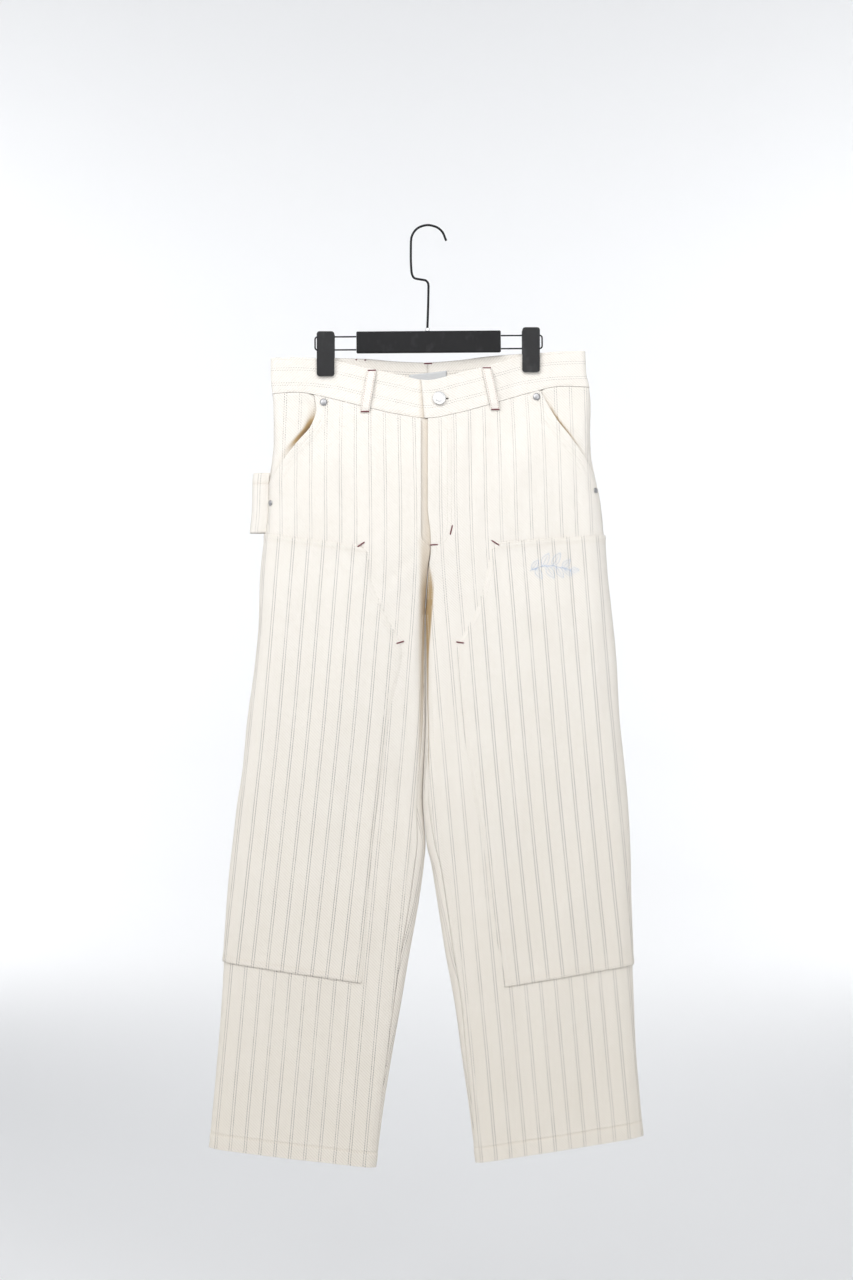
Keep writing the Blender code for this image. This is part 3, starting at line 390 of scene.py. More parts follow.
def curve_through(points):
    """A function that runs smoothly through (place, value) points, without overshooting them."""
    places, values = np.array(points, float).T
    spans = np.diff(places)
    slopes = np.diff(values) / spans
    product = slopes[:-1] * slopes[1:]
    total = np.where(product > 0, slopes[:-1] + slopes[1:], 1)
    turns = np.concatenate([slopes[:1], np.where(product > 0, 2 * product / total, 0), slopes[-1:]])

    def value_at(place):
        place = np.clip(place, places[0], places[-1])
        i = np.clip(np.searchsorted(places, place, side="right") - 1, 0, len(spans) - 1)
        t = (place - places[i]) / spans[i]
        rise = spans[i] * (turns[i] * t * (1 - t) ** 2 - turns[i + 1] * t * t * (1 - t))
        return values[i] + (values[i + 1] - values[i]) * t * t * (3 - 2 * t) + rise

    return value_at


def column(rows, place, value):
    return curve_through([(getattr(row, place), getattr(row, value)) for row in rows])


OUTER = {side: column(SECTIONS, "down", side + "_out") for side in SIDES}
INNER = {side: column(SECTIONS, "down", side + "_in") for side in SIDES}
DEPTH = {face: column(SECTIONS, "down", word) for face, word in FACES.items()}
WAIST_DEPTH = {face: column(WAIST, "out", word) for face, word in FACES.items()}
FOLD_WIDTH = curve_through(SIDE_FOLD)
BAND_TOP = {face: column(BAND_EDGES, "out", word + "_top") for face, word in FACES.items()}
BAND_LOW = {face: column(BAND_EDGES, "out", word + "_low") for face, word in FACES.items()}
FLY_EDGE = {side: column(FLY_EDGES, "down", side) for side in SIDES}
MOUTH = {side: column(MOUTHS, "down", side) for side in SIDES}
KNEE_ABOVE = {side: column(KNEE_UPPER, "down", side) for side in SIDES}
KNEE_BELOW = {side: column(KNEE_LOWER, "down", side) for side in SIDES}
INSEAM = curve_through(INSEAM_TURN)
GROOVE_EDGE, GROOVE_DEPTH = column(GROOVES, "down", "edge"), column(GROOVES, "down", "depth")


def waves(seed, count, long_across, long_down, grain):
    """A smooth uneven field from -1 to 1: the sum of many plane waves of about one size."""
    random = np.random.default_rng(seed)
    across = random.normal(0, 1, count) * 2 * math.pi / long_across
    down = random.normal(0, 1, count) * 2 * math.pi / long_down
    phase = random.uniform(0, 2 * math.pi, count)

    def height(x, y):
        total = 0
        for a, d, p in zip(across, down, phase):
            total = total + np.sin(a * x + d * y + p)
        return total * grain / math.sqrt(count)

    return height


DRAPE = {FRONT: waves(3, 14, 60, 190, 0.55), BACK: waves(7, 14, 60, 170, 0.6)}
PUCKER = waves(11, 10, 13, 13, 0.16)


def fold_height(face, x, down):
    """What the folds and creases add to the depth of the cloth."""
    total = DRAPE[face](x, down) * smoothstep(235, 330, down)
    for fold in FOLDS + CREASES:
        if fold.face != face:
            continue
        run_x, run_down = fold.to_x - fold.x, fold.to_down - fold.down
        length = math.hypot(run_x, run_down)
        reach_x, reach_down = x - fold.x, down - fold.down
        along = (reach_x * run_x + reach_down * run_down) / length**2
        across = (reach_x * run_down - reach_down * run_x) / length
        fade = smoothstep(-0.25, 0.25, along) * smoothstep(1.25, 0.75, along)
        total = total + fold.height * fade * hump(across, 0, fold.width)
    return total


def round_edge(distance, width):
    """Rises from 0 at a fold to 1 past its width, as a quarter of an ellipse."""
    part = np.clip(distance / width, 0, 1)
    return np.sqrt(1 - (1 - part) ** 2)


def cloth_depth(side, face, out, down, folded=True):
    """How far the outer side of the cloth lies from the middle plane."""
    outer, inner = OUTER[side](down), INNER[side](down)
    middle, half = (outer + inner) / 2, (outer - inner) / 2
    leg = smoothstep(FORK_START, FORK_END, down)
    crown = CROWN * ((1 - leg) * (out / outer) ** 2 + leg * ((out - middle) / half) ** 2)
    hip = smoothstep(WAIST_END, HIP_START, down)
    depth = DEPTH[face](down) * (1 - crown) * hip + WAIST_DEPTH[face](np.abs(out)) * (1 - hip)
    if folded:
        depth = depth + fold_height(face, SIDES[side] * out, down) * hip
    groove = 1 - leg + leg * round_edge(out - inner, INNER_FOLD)
    return depth * round_edge(outer - out, FOLD_WIDTH(down)) * groove


def thigh_shift(side, out, down):
    """The thighs press together: the left one comes forward and the right one goes back."""
    outer, inner = OUTER[side](down), INNER[side](down)
    near = 1 - (out - inner) / (outer - inner)
    return -SIDES[side] * PRESS_SHIFT * hump(down, *PRESS) * near * near


def place(side, face, out, down, folded=True):
    """Points on the outer side of the cloth."""
    y = face * cloth_depth(side, face, out, down, folded) + thigh_shift(side, out, down)
    x = SIDES[side] * out
    return np.stack([x, y, TILT * x - down], axis=-1)


def out_at(side, turn, down):
    outer, inner = OUTER[side](down), INNER[side](down)
    return (outer + inner) / 2 + (outer - inner) / 2 * np.cos(turn)


def turn_at(side, out, down):
    outer, inner = OUTER[side](down), INNER[side](down)
    return np.arccos(np.clip((2 * out - outer - inner) / (outer - inner), -1, 1))


def ring(side, turn, down, folded=True):
    """Points around a leg: 0 is the side seam, pi the inner fold, and past pi is the back."""
    out = out_at(side, turn, down)
    front = place(side, FRONT, out, down, folded)
    back = place(side, BACK, out, down, folded)
    return np.where(np.asarray(turn <= math.pi)[..., None], front, back)


def unit(vectors):
    return vectors / np.maximum(np.linalg.norm(vectors, axis=-1, keepdims=True), 1e-9)


def ring_normal(side, turn, down):
    step = 0.02
    around = ring(side, turn + step, down) - ring(side, turn - step, down)
    along = ring(side, turn, down + 1) - ring(side, turn, down - 1)
    return unit(np.cross(around, along) * SIDES[side])


def turn_over(side, turn, down, length):
    """The turn that a short length of cloth takes up there."""
    step = 0.01
    around = ring(side, turn + step, down, False) - ring(side, turn - step, down, False)
    speed = np.linalg.norm(around, axis=-1) / (2 * step)
    return length / np.maximum(speed, 1)


def seam_gap(side, turn, down):
    return turn_over(side, turn, down, SEAM_GAP / 2)


def by_seam(measure, side, down, *length):
    """What a measure gives close to the side seam, at every place down."""
    return measure(side, np.full_like(down, 0.05), down, *length)


def knee_edge(side, down):
    return np.where(down < KNEE_LOWER[0].down, KNEE_ABOVE[side](down), KNEE_BELOW[side](down))


def inseam_turn(side, down):
    return turn_at(side, INNER[side](down) + INSEAM(down), down)


def line_down(side, face, line, out, down):
    """How far down a line lies at places across the leg."""
    if line is TOP_LINE:
        return BAND_LOW[face](out) + GAP
    outer, inner = OUTER[side](down), INNER[side](down)
    part = (outer - out) / (outer - inner)
    start, end = getattr(line, side + "_out"), getattr(line, side + "_in")
    return start + (end - start) * part


def front_start(side, down):
    """Where a front begins: the pocket mouth, and below it the side seam."""
    seam = by_seam(seam_gap, side, down)
    mouth = np.maximum(turn_at(side, MOUTH[side](down), down), seam)
    return seam + (mouth - seam) * smoothstep(MOUTH_END + 8, MOUTH_END - 12, down)


def front_end(side, down):
    inseam = inseam_turn(side, down)
    inseam = inseam - seam_gap(side, np.minimum(inseam, math.pi - 0.05), down)
    return np.where(down < FLY_END, turn_at(side, FLY_EDGE[side](down), down), inseam)


def front_turn(side, number, down):
    """The turns of points in numbered columns of a front, which meet the knee panel's edge."""
    start, end = front_start(side, down), front_end(side, down)
    knee = turn_at(side, knee_edge(side, down), down)
    last = COLUMNS_TO_KNEE + COLUMNS_PAST_KNEE
    first = start + turn_over(side, np.maximum(start, 0.05), down, SEAM_COLUMN)
    final = end - turn_over(side, np.minimum(end, math.pi - 0.05), down, SEAM_COLUMN)
    near = COLUMNS_TO_KNEE + 1 - len(KNEE_EDGE_COLUMNS)
    start_of_edge = knee - turn_over(side, knee, down, KNEE_EDGE_COLUMNS[0])
    outside = first + (start_of_edge - first) * (number - 1) / (near - 1)
    reach = np.interp(number, np.arange(near, COLUMNS_TO_KNEE + 1), KNEE_EDGE_COLUMNS)
    outside = np.where(number > near, knee - turn_over(side, knee, down, reach), outside)
    inside = knee + (final - knee) * (number - COLUMNS_TO_KNEE) / (COLUMNS_PAST_KNEE - 1)
    turn = np.where(number <= COLUMNS_TO_KNEE, outside, inside)
    return np.where(number == 0, start, np.where(number == last, end, turn))


def back_turn(side, number, down):
    """The same for a back. It goes from the side seam to the middle seam or the inseam."""
    start = 2 * math.pi - by_seam(seam_gap, side, down)
    out = GAP / 2 - SIDES[side] * np.maximum(0, INNER["right"](down))
    middle = 2 * math.pi - turn_at(side, out, down)
    inseam = inseam_turn(side, down)
    inseam = inseam + seam_gap(side, np.minimum(inseam, math.pi - 0.05), down)
    end = np.where(down < FLY_END, middle, inseam)
    first = start - by_seam(turn_over, side, down, SEAM_COLUMN)
    final = end + turn_over(side, np.minimum(end, math.pi - 0.05), down, SEAM_COLUMN)
    turn = first + (final - first) * (number - 1) / (BACK_COLUMNS - 2)
    return np.where(number == 0, start, np.where(number == BACK_COLUMNS, end, turn))


def gape(side, turn, down):
    """How far a front stands off at its pocket mouth."""
    past = MOUTH[side](down) - out_at(side, turn, down)
    along = hump(down, GAPE_MIDDLE, GAPE_LENGTH)
    along = along * smoothstep(MOUTH_END, MOUTH_END - 30, down)
    along = along * smoothstep(GAPE_START, GAPE_START + 18, down)
    return np.where(down < MOUTH_END, GAPE[side] * along * smoothstep(GAPE_REACH, 0, past), 0)


def relief(side, face, turn, down):
    """How far sewn edges raise the cloth: the turned hem and the turned pocket mouth."""
    out = out_at(side, turn, down)
    x = SIDES[side] * out
    above = line_down(side, face, HEM, out, down) - down
    rise = 0.7 * smoothstep(24, 20.5, above) - 0.85 * hump(above, HEM_SEWING, 1.8)
    ropes = np.sin(x / 1.7 + above / 3.2 + 2.2 * PUCKER(x, down * 0.3))
    rise = rise + 0.22 * ropes * smoothstep(21, 15, above) * smoothstep(0, 5, above)
    if face == FRONT:
        inside = (MOUTH[side](down) - out) * 0.86
        near = smoothstep(MOUTH_END + 8, MOUTH_END - 12, down) * smoothstep(-0.5, 0.5, inside + 0.6)
        lip = 0.5 * smoothstep(13, 10, inside) - 0.5 * hump(inside, 8.3, 1.3)
        rise = rise + near * lip
    seam = np.minimum(turn, 2 * math.pi - turn) * 40 / math.pi
    rise = rise + PUCKER(x, down) * np.exp(-seam) * 0.8
    return rise


def cloth_point(side, face, turn, down, lift=0.0):
    """Points on a front or a back as it was sewn, raised by a lift along the normals."""
    points = ring(side, turn, down)
    if face == FRONT:
        points[..., 1] -= gape(side, turn, down)
    rise = relief(side, face, turn, down) + lift
    return points + ring_normal(side, turn, down) * rise[..., None]


def row_share(part):
    return part - ROW_PULL * math.sin(2 * math.pi * part) / (2 * math.pi)


def panel_grid(side, face):
    """The turn and the place down of every point of a panel's rows and columns."""
    lines = [TOP_LINE, *LINES]
    rows = [(a, b, row_share(i / a.rows)) for a, b in zip(lines, lines[1:]) for i in range(a.rows)]
    rows.append((LINES[-2], LINES[-1], 1.0))
    turn_for = front_turn if face == FRONT else back_turn
    count = (COLUMNS_TO_KNEE + COLUMNS_PAST_KNEE if face == FRONT else BACK_COLUMNS) + 1
    number = np.tile(np.arange(count, dtype=float), (len(rows), 1))
    down = np.array([[250.0 if above is TOP_LINE else 500.0] * count for above, _, _ in rows])
    for _ in range(SETTLING):
        out = out_at(side, turn_for(side, number, down), down)
        target = np.empty_like(down)
        for r, (above, below, share) in enumerate(rows):
            start = line_down(side, face, above, out[r], down[r])
            end = line_down(side, face, below, out[r], down[r])
            target[r] = start + (end - start) * share
        down = down + (target - down) * 0.9
    return turn_for(side, number, down), down


def hem_shade(side, face, out, down):
    """The line of shade along the stitches of a hem."""
    above = line_down(side, face, HEM, out, down) - down
    return HEM_SHADE * hump(above, HEM_SEWING, 1.0)


def groove_shade(side, out, down):
    """How deep in shade the cloth is beside the fold between the thighs."""
    if side == "right":
        return 0.80 * GROOVE_DEPTH(down) * smoothstep(GROOVE_START, GROOVE_FULL, out)
    edge = GROOVE_EDGE(down)
    return GROOVE_DEPTH(down) * smoothstep(edge + 1.0, edge - 1.0, out)


def row_of(line):
    """The number of the row of points that lies on a line."""
    return TOP_LINE.rows + sum(above.rows for above in LINES[: LINES.index(line)])


def lengths_along(rows):
    """How far along its row each point lies."""
    steps = np.linalg.norm(np.diff(rows, axis=1), axis=-1)
    return np.concatenate([np.zeros((len(rows), 1)), np.cumsum(steps, axis=1)], axis=1)


def measured(points, down, grain, towards):
    """Places on the cloth in metres: across its stripes from the grain line, and down."""
    across = lengths_along(points)
    grain_x = curve_through(grain)(down.mean(axis=1))
    for r, row in enumerate(points):
        order = np.argsort(row[:, 0])
        across[r] -= np.interp(grain_x[r], row[order, 0], across[r][order])
    return np.stack([across * towards, down], axis=-1) * MM


MATERIALS = {}


def put(mesh, name, material):
    obj = bpy.data.objects.new(name, mesh)
    mesh.materials.append(MATERIALS[material])
    bpy.context.scene.collection.objects.link(obj)
    return obj


def mesh_of(name, points, faces):
    mesh = bpy.data.meshes.new(name)
    mesh.from_pydata(np.asarray(points).reshape(-1, 3) * MM, [], faces)
    mesh.shade_smooth()
    return mesh


def sheet_of(name, points, cloth, thickness, material, flip, shadow=None):
    """A sheet of cloth through rows of points, thickened inwards, with its places as a UV map."""
    rows, columns = points.shape[:2]
    index = np.arange(rows * columns).reshape(rows, columns)
    quads = np.stack([index[:-1, :-1], index[:-1, 1:], index[1:, 1:], index[1:, :-1]], -1).reshape(-1, 4)
    if flip:
        quads = quads[:, ::-1]
    mesh = mesh_of(name, points, quads.tolist())
    layer = mesh.uv_layers.new(name="cloth")
    corners = np.empty(len(mesh.loops), np.int32)
    mesh.loops.foreach_get("vertex_index", corners)
    layer.data.foreach_set("uv", cloth.reshape(-1, 2)[corners].astype(np.float32).ravel())
    # The painted shade of each point: the cloth's material mixes it into its colour as tan, and as dark
    # brown past 1.
    painted_shade = mesh.attributes.new("shadow", "FLOAT", "POINT")
    if shadow is not None:
        painted_shade.data.foreach_set("value", shadow.astype(np.float32).ravel())
    obj = put(mesh, name, material)
    solid = obj.modifiers.new("Thickness", "SOLIDIFY")
    solid.thickness = thickness * MM
    solid.offset = -1
    solid.use_quality_normals = True
    mesh.set_sharp_from_angle(angle=math.radians(60))
    return obj


def stitches(name, rows, material, length=STITCH, pitch=STITCH_PITCH, radius=STITCH_RADIUS):
    """Many stitches as one mesh. Each row is points along it and the cloth's normals there."""
    centres, alongs, ups = [], [], []
    for points, normals in rows:
        steps = np.linalg.norm(np.diff(points, axis=0), axis=1)
        reach = np.concatenate([[0], np.cumsum(steps)])
        count = int(reach[-1] // pitch)
        if count < 1:
            continue
        middle = (np.arange(count) + 0.5) * reach[-1] / count
        start, end = middle - length / 2, middle + length / 2
        tails = np.stack([np.interp(start, reach, points[:, k]) for k in range(3)], 1)
        heads = np.stack([np.interp(end, reach, points[:, k]) for k in range(3)], 1)
        centres.append((tails + heads) / 2)
        alongs.append(heads - tails)
        ups.append(unit(np.stack([np.interp(middle, reach, normals[:, k]) for k in range(3)], 1)))
    lists = (np.concatenate(part) for part in (centres, alongs, ups))
    return stitch_mesh(name, *lists, material, radius)


def stitch_mesh(name, centres, alongs, ups, material, radius):
    """A tapered thread for each stitch: it rises from the cloth, lies on it and goes back in."""
    sides = unit(np.cross(alongs, ups))
    parts = [centres - alongs * 0.5 - ups * radius]
    for share in (-0.3, 0.3):
        for wide, high in ((1, 0.1), (0, 1.1), (-1, 0.1), (0, -0.6)):
            parts.append(centres + alongs * share + sides * wide * radius + ups * high * radius)
    parts.append(centres + alongs * 0.5 - ups * radius)
    points = np.stack(parts, axis=1)
    pattern = []
    for k in range(4):
        after = (k + 1) % 4
        pattern.append((0, 1 + after, 1 + k))
        pattern.append((1 + k, 1 + after, 5 + after, 5 + k))
        pattern.append((9, 5 + k, 5 + after))
    count = points.shape[1]
    faces = [tuple(i * count + v for v in face) for i in range(len(points)) for face in pattern]
    return put(mesh_of(name, points, faces), name, material)


def spread(start, end, count=60):
    return np.linspace(start, end, count)


def on_panel(side, face, turn, down, lift=0.12):
    """A row of stitches on a front or a back: its points and normals."""
    return cloth_point(side, face, turn, down, lift), ring_normal(side, turn, down)


def part_of_line(side, face, line, start, end, rise=0.0, count=80):
    """A row along a line across a leg, between two distances out, a little above the line."""
    out = spread(start, end, count)
    down = np.full(count, 500.0)
    for _ in range(10):
        down = line_down(side, face, line, out, down) - rise
    turn = turn_at(side, out, down)
    return (turn if face == FRONT else 2 * math.pi - turn), down


class Value:
    """A socket of a material, on which sums are written as Python."""

    def __init__(self, finish, socket):
        self.finish, self.socket = finish, socket

    def math(self, operation, *others):
        sockets = dict(enumerate((self, *others)))
        return self.finish.node("ShaderNodeMath", {"operation": operation}, sockets)

    def __add__(self, other):
        return self.math("ADD", other)

    def __sub__(self, other):
        return self.math("SUBTRACT", other)

    def __rsub__(self, other):
        return self.finish.node("ShaderNodeMath", {"operation": "SUBTRACT"}, {0: other, 1: self})

    def __mul__(self, other):
        return self.math("MULTIPLY", other)

    def __truediv__(self, other):
        return self.math("DIVIDE", other)

    __radd__, __rmul__ = __add__, __mul__


class Finish:
    """A material, made of a Principled shader and the nodes that feed it."""

    def __init__(self, name, colour, roughness, metallic=0.0, **constants):
        self.material = bpy.data.materials.new(name)
        self.material.use_nodes = True
        self.tree = self.material.node_tree
        self.shader = self.tree.nodes["Principled BSDF"]
        self.set(Base_Color=(*colour, 1), Roughness=roughness, Metallic=metallic, **constants)
        self.material.diffuse_color = (*colour, 1)
        MATERIALS[name] = self.material

    def set(self, **sockets):
        for name, value in sockets.items():
            self.feed(self.shader.inputs[name.replace("_", " ")], value)

    def feed(self, socket, value):
        if isinstance(value, Value):
            self.tree.links.new(value.socket, socket)
        else:
            socket.default_value = value

    def node(self, kind, settings, sockets, output=0):
        made = self.tree.nodes.new(kind)
        for key, value in settings.items():
            setattr(made, key, value)
        for key, value in sockets.items():
            self.feed(made.inputs[key], value)
        return Value(self, made.outputs[output])

    def mix(self, share, low, high):
        kind = {"data_type": "RGBA"}
        return self.node("ShaderNodeMix", kind, {0: share, 6: low, 7: high}, 2)

    def step(self, start, end, value):
        """0 before start and 1 past end, smoothly."""
        kind = {"interpolation_type": "SMOOTHSTEP"}
        return self.node("ShaderNodeMapRange", kind, {"Value": value, "From Min": start, "From Max": end})

    def noise(self, scale, detail=2.0, stretch=(1, 1, 1)):
        """Uneven values from 0 to 1 in the object's own space, of about a size in millimetres."""
        spot = self.node("ShaderNodeTexCoord", {}, {}, 3)
        spot = self.node("ShaderNodeVectorMath", {"operation": "MULTIPLY"}, {0: spot, 1: stretch})
        sockets = {"Vector": spot, "Scale": 1000 / scale, "Detail": detail}
        return self.node("ShaderNodeTexNoise", {}, sockets)

    def bump(self, height, depth, strength=1.0, below=None):
        sockets = {"Height": height, "Distance": depth * MM, "Strength": strength}
        if below is not None:
            sockets["Normal"] = below
        return self.node("ShaderNodeBump", {}, sockets)


# The cream of the cloth, the same cream painted darker and warmer as shade towards the hems, and the tan of
# painted shade.
CREAM, CREAM_SHADED_LOW, PAINTED_SHADE_TAN = (0.862, 0.832, 0.785, 1), (0.745, 0.692, 0.605, 1), (0.40, 0.275, 0.135, 1)
WEAVE_SHADE, FOLD_SHADE = (0.50, 0.435, 0.36, 1), (0.10, 0.055, 0.030, 1)
STRIPE_DOT, STRIPE_PALE = (0.050, 0.046, 0.056, 1), (0.42, 0.39, 0.385, 1)
TWILL_PITCH, DOT_PITCH = 3.9, 3.2


def twill(name, stripes=1.0, tone=1.0):
    """Cream cotton twill: diagonal ribs, small slubs, fine dotted double stripes, and painted shade."""
    finish = Finish(name, CREAM[:3], 0.92, Specular_IOR_Level=0.2, Sheen_Weight=0.1, Sheen_Roughness=0.5)
    cloth = finish.node("ShaderNodeUVMap", {"uv_map": "cloth"}, {})
    parts = finish.node("ShaderNodeSeparateXYZ", {}, {0: cloth})
    across = Value(finish, parts.socket.node.outputs[0]) * 1000
    down = Value(finish, parts.socket.node.outputs[1]) * 1000
    ribs = ((across - down) * (2 * math.pi / TWILL_PITCH)).math("SINE")
    picks = (down * (2 * math.pi / 0.62)).math("SINE")
    fuzz = finish.noise(0.9, 2.0)
    slubs = finish.step(0.66, 0.76, finish.noise(3.2, 3.0, (1, 1, 0.45)))
    cloud = finish.noise(48, 3.0)
    mottle = finish.noise(6, 3.0)
    # Painted shade: the cloth darkens and warms from the waist towards the hems, where less light falls,
    # with a random cloudy tone mixed in. The same share down also strengthens the ribs and the stripes.
    lower = finish.step(250, 1250, down)
    light, deep = [(*(c * tone for c in colour[:3]), 1) for colour in (CREAM, CREAM_SHADED_LOW)]
    colour = finish.mix(0.02 + cloud * 0.25 + lower * 0.5, light, deep)
    uneven = (fuzz - 0.5) * 0.8 + (mottle - 0.5) * 0.26 - slubs * 0.12
    colour = finish.mix(0.08 - ribs * (0.17 + lower * 0.22) + uneven, colour, WEAVE_SHADE)
    if stripes:
        phase = (across / STRIPE_PITCH + 0.5).math("FRACT") - 0.5
        off = phase * STRIPE_PITCH
        near = off.math("ABSOLUTE") - 1.5
        line = 1 - finish.step(0.16, 0.46, near.math("ABSOLUTE"))
        shift = off.math("GREATER_THAN", 0.0) * 0.5
        dots = ((down / DOT_PITCH + shift) * (2 * math.pi)).math("SINE")
        dots = finish.step(-0.35, 0.15, dots)
        worn = finish.step(0.3, 0.65, finish.noise(26, 2.0, (1, 1, 0.3)))
        breaks = finish.step(0.4, 0.6, finish.noise(4.5, 2.0, (1, 1, 0.7)))
        strength = (0.85 + lower * 0.45) * stripes
        colour = finish.mix(line * (0.04 + worn * 0.10) * strength, colour, STRIPE_PALE)
        dark = line * dots * (0.42 + breaks * 0.46 + worn * 0.34) * strength
        colour = finish.mix(dark, colour, STRIPE_DOT)
    # Painted shade from each mesh's shadow attribute: towards tan up to 1, and towards dark brown past 1.
    shadow = finish.node("ShaderNodeAttribute", {"attribute_name": "shadow"}, {}, 2)
    colour = finish.mix(shadow, colour, PAINTED_SHADE_TAN)
    colour = finish.mix(shadow - 1, colour, FOLD_SHADE)
    crumple = finish.noise(30, 2.0, (1, 1, 0.6)) * 7 + finish.noise(10, 2.0) * 1.8
    height = ribs * 0.5 + picks * 0.15 + fuzz * 0.9 + slubs * 0.6 + crumple
    finish.set(Base_Color=colour, Normal=finish.bump(height, 0.16, 0.8))
    finish.set(Roughness=0.86 + fuzz * 0.1)


def thread(name, colour, dark):
    """Sewing thread: a fine twist across each stitch."""
    finish = Finish(name, colour, 0.6, Specular_IOR_Level=0.4, Sheen_Weight=0.1)
    fibres = finish.noise(0.5, 2.0)
    finish.set(Base_Color=finish.mix(fibres, (*colour, 1), (*dark, 1)))
    finish.set(Normal=finish.bump(fibres, 0.1, 0.6))


def metal(name, colour, roughness, grain, depth):
    """Plated metal with a fine grain and faint handling marks."""
    finish = Finish(name, colour, roughness, 1.0)
    marks, grains = finish.noise(6, 4.0), finish.noise(grain, 2.0)
    finish.set(Roughness=roughness - 0.06 + marks * 0.16)
    marked = (*(c * 0.78 for c in colour), 1)
    finish.set(Base_Color=finish.mix(finish.step(0.5, 0.8, marks), (*colour, 1), marked))
    finish.set(Normal=finish.bump(grains, depth, 0.5))


def moulded(name, colour, roughness, grain):
    """Matte black plastic with a moulded grain, paler where it is rubbed."""
    finish = Finish(name, colour, roughness, Specular_IOR_Level=0.3)
    grains, rubbed = finish.noise(grain, 3.0), finish.noise(14, 4.0, (1, 1, 0.6))
    pale = tuple(c * 1.9 + 0.010 for c in colour)
    finish.set(Base_Color=finish.mix(finish.step(0.5, 0.78, rubbed), (*colour, 1), (*pale, 1)))
    finish.set(Roughness=roughness - 0.08 + rubbed * 0.18)
    finish.set(Normal=finish.bump(grains, 0.12, 0.7))


def label_cloth():
    """A plain grey satin-woven label."""
    finish = Finish("label", (0.56, 0.57, 0.58), 0.5, Sheen_Weight=0.2)
    weft = finish.noise(0.5, 2.0, (0.1, 1, 1))
    finish.set(Base_Color=finish.mix(weft, (0.50, 0.51, 0.52, 1), (0.66, 0.67, 0.68, 1)))
    finish.set(Normal=finish.bump(weft, 0.08, 0.5))


def studio_white():
    finish = Finish("studio white", (0.86, 0.865, 0.875), 0.85)
    finish.set(Roughness=0.8 + finish.noise(400, 2.0) * 0.1)


def make_materials():
    twill("striped twill", 0.85)
    # Painted light: the band's copy of the cloth is a little lighter, for the stronger light at the top of
    # the garment.
    twill("band twill", 0.65, 1.02)
    twill("knee twill", 1.25)
    twill("plain twill", 0, 1.03)
    thread("cream thread", (0.90, 0.88, 0.83), (0.74, 0.70, 0.62))
    thread("maroon thread", (0.20, 0.006, 0.030), (0.10, 0.003, 0.014))
    # Dark thread: the buttonhole's painted shade, and the stripes' ends along the tool loop's folded top.
    thread("painted shade and stripe mark thread", (0.10, 0.085, 0.07), (0.05, 0.04, 0.035))
    thread("rust thread", (0.44, 0.24, 0.19), (0.30, 0.14, 0.11))
    thread("pale blue thread", (0.46, 0.60, 0.82), (0.40, 0.53, 0.76))
    metal("button metal", (0.88, 0.88, 0.875), 0.42, 0.6, 0.05)
    metal("rivet metal", (0.40, 0.40, 0.41), 0.42, 0.6, 0.05)
    metal("ferrule metal", (0.82, 0.82, 0.82), 0.36, 0.6, 0.05)
    metal("black wire", (0.03, 0.03, 0.032), 0.42, 0.4, 0.03)
    metal("spring steel", (0.20, 0.20, 0.21), 0.4, 0.5, 0.04)
    moulded("hanger black", (0.006, 0.006, 0.007), 0.6, 0.7)
    moulded("clip black", (0.020, 0.020, 0.021), 0.5, 0.7)
    label_cloth()
    studio_white()


def worn(obj, kind, *nodes, rests_on=("hanger_bar",), with_pieces=()):
    """Hides the solids that a cloth piece stands for, and makes it and its pieces ride with the garment."""
    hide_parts(*nodes)
    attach(obj, "root")
    "label" if kind == "label" else "striped_twill"
    for piece in with_pieces:
        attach(piece, "root")


def make_panels():
    """The fronts and the backs, and the two knee panels sewn on the fronts."""
    for side, sign in SIDES.items():
        turn, down = panel_grid(side, FRONT)
        points = cloth_point(side, FRONT, turn, down)
        cloth = measured(points, down, GRAIN["front_" + side], -sign)
        out = out_at(side, turn, down)
        shade = groove_shade(side, out, down) + hem_shade(side, FRONT, out, down)
        front = sheet_of("cloth_front_" + side, points, cloth, CLOTH, "striped twill", sign < 0, shade)
        worn(front, "front", "front_" + side, with_pieces=[sew_front(side)])

        top, bottom = row_of(KNEE_TOP), row_of(KNEE_BOTTOM)
        turn = turn[top : bottom + 1, : COLUMNS_TO_KNEE + 1]
        down = down[top : bottom + 1, : COLUMNS_TO_KNEE + 1]
        points = knee_point(side, turn, down)
        cloth = measured(points, down, GRAIN["knee_" + side], -sign)
        ends = knee_reach(side, turn, down)[0]
        shade = 0.14 * hump(ends, KNEE_ROWS[1], 0.9) + 0.08 * hump(ends, KNEE_ROWS[0], 0.7)
        name = "cloth_double_knee_" + side
        knee = sheet_of(name, points, cloth, KNEE_CLOTH, "knee twill", sign < 0, shade)
        worn(knee, "double_knee", "double_knee_" + side, with_pieces=[sew_knee(side)])

        turn, down = panel_grid(side, BACK)
        points = cloth_point(side, BACK, turn, down)
        cloth = measured(points, down, GRAIN["back_" + side], sign)
        shade = hem_shade(side, BACK, out_at(side, turn, down), down)
        back = sheet_of("cloth_back_" + side, points, cloth, CLOTH, "striped twill", sign > 0, shade)
        worn(back, "back", "back_" + side, with_pieces=[sew_back(side)])


KNEE_LIFT = GAP + 0.05 + KNEE_CLOTH


def knee_reach(side, turn, down):
    """How far places on a knee panel are from its top or bottom edge, and from its inner edge."""
    out = out_at(side, turn, down)
    below = down - line_down(side, FRONT, KNEE_TOP, out, down)
    above = line_down(side, FRONT, KNEE_BOTTOM, out, down) - down
    return np.minimum(below, above), (out - knee_edge(side, down)) * 0.94


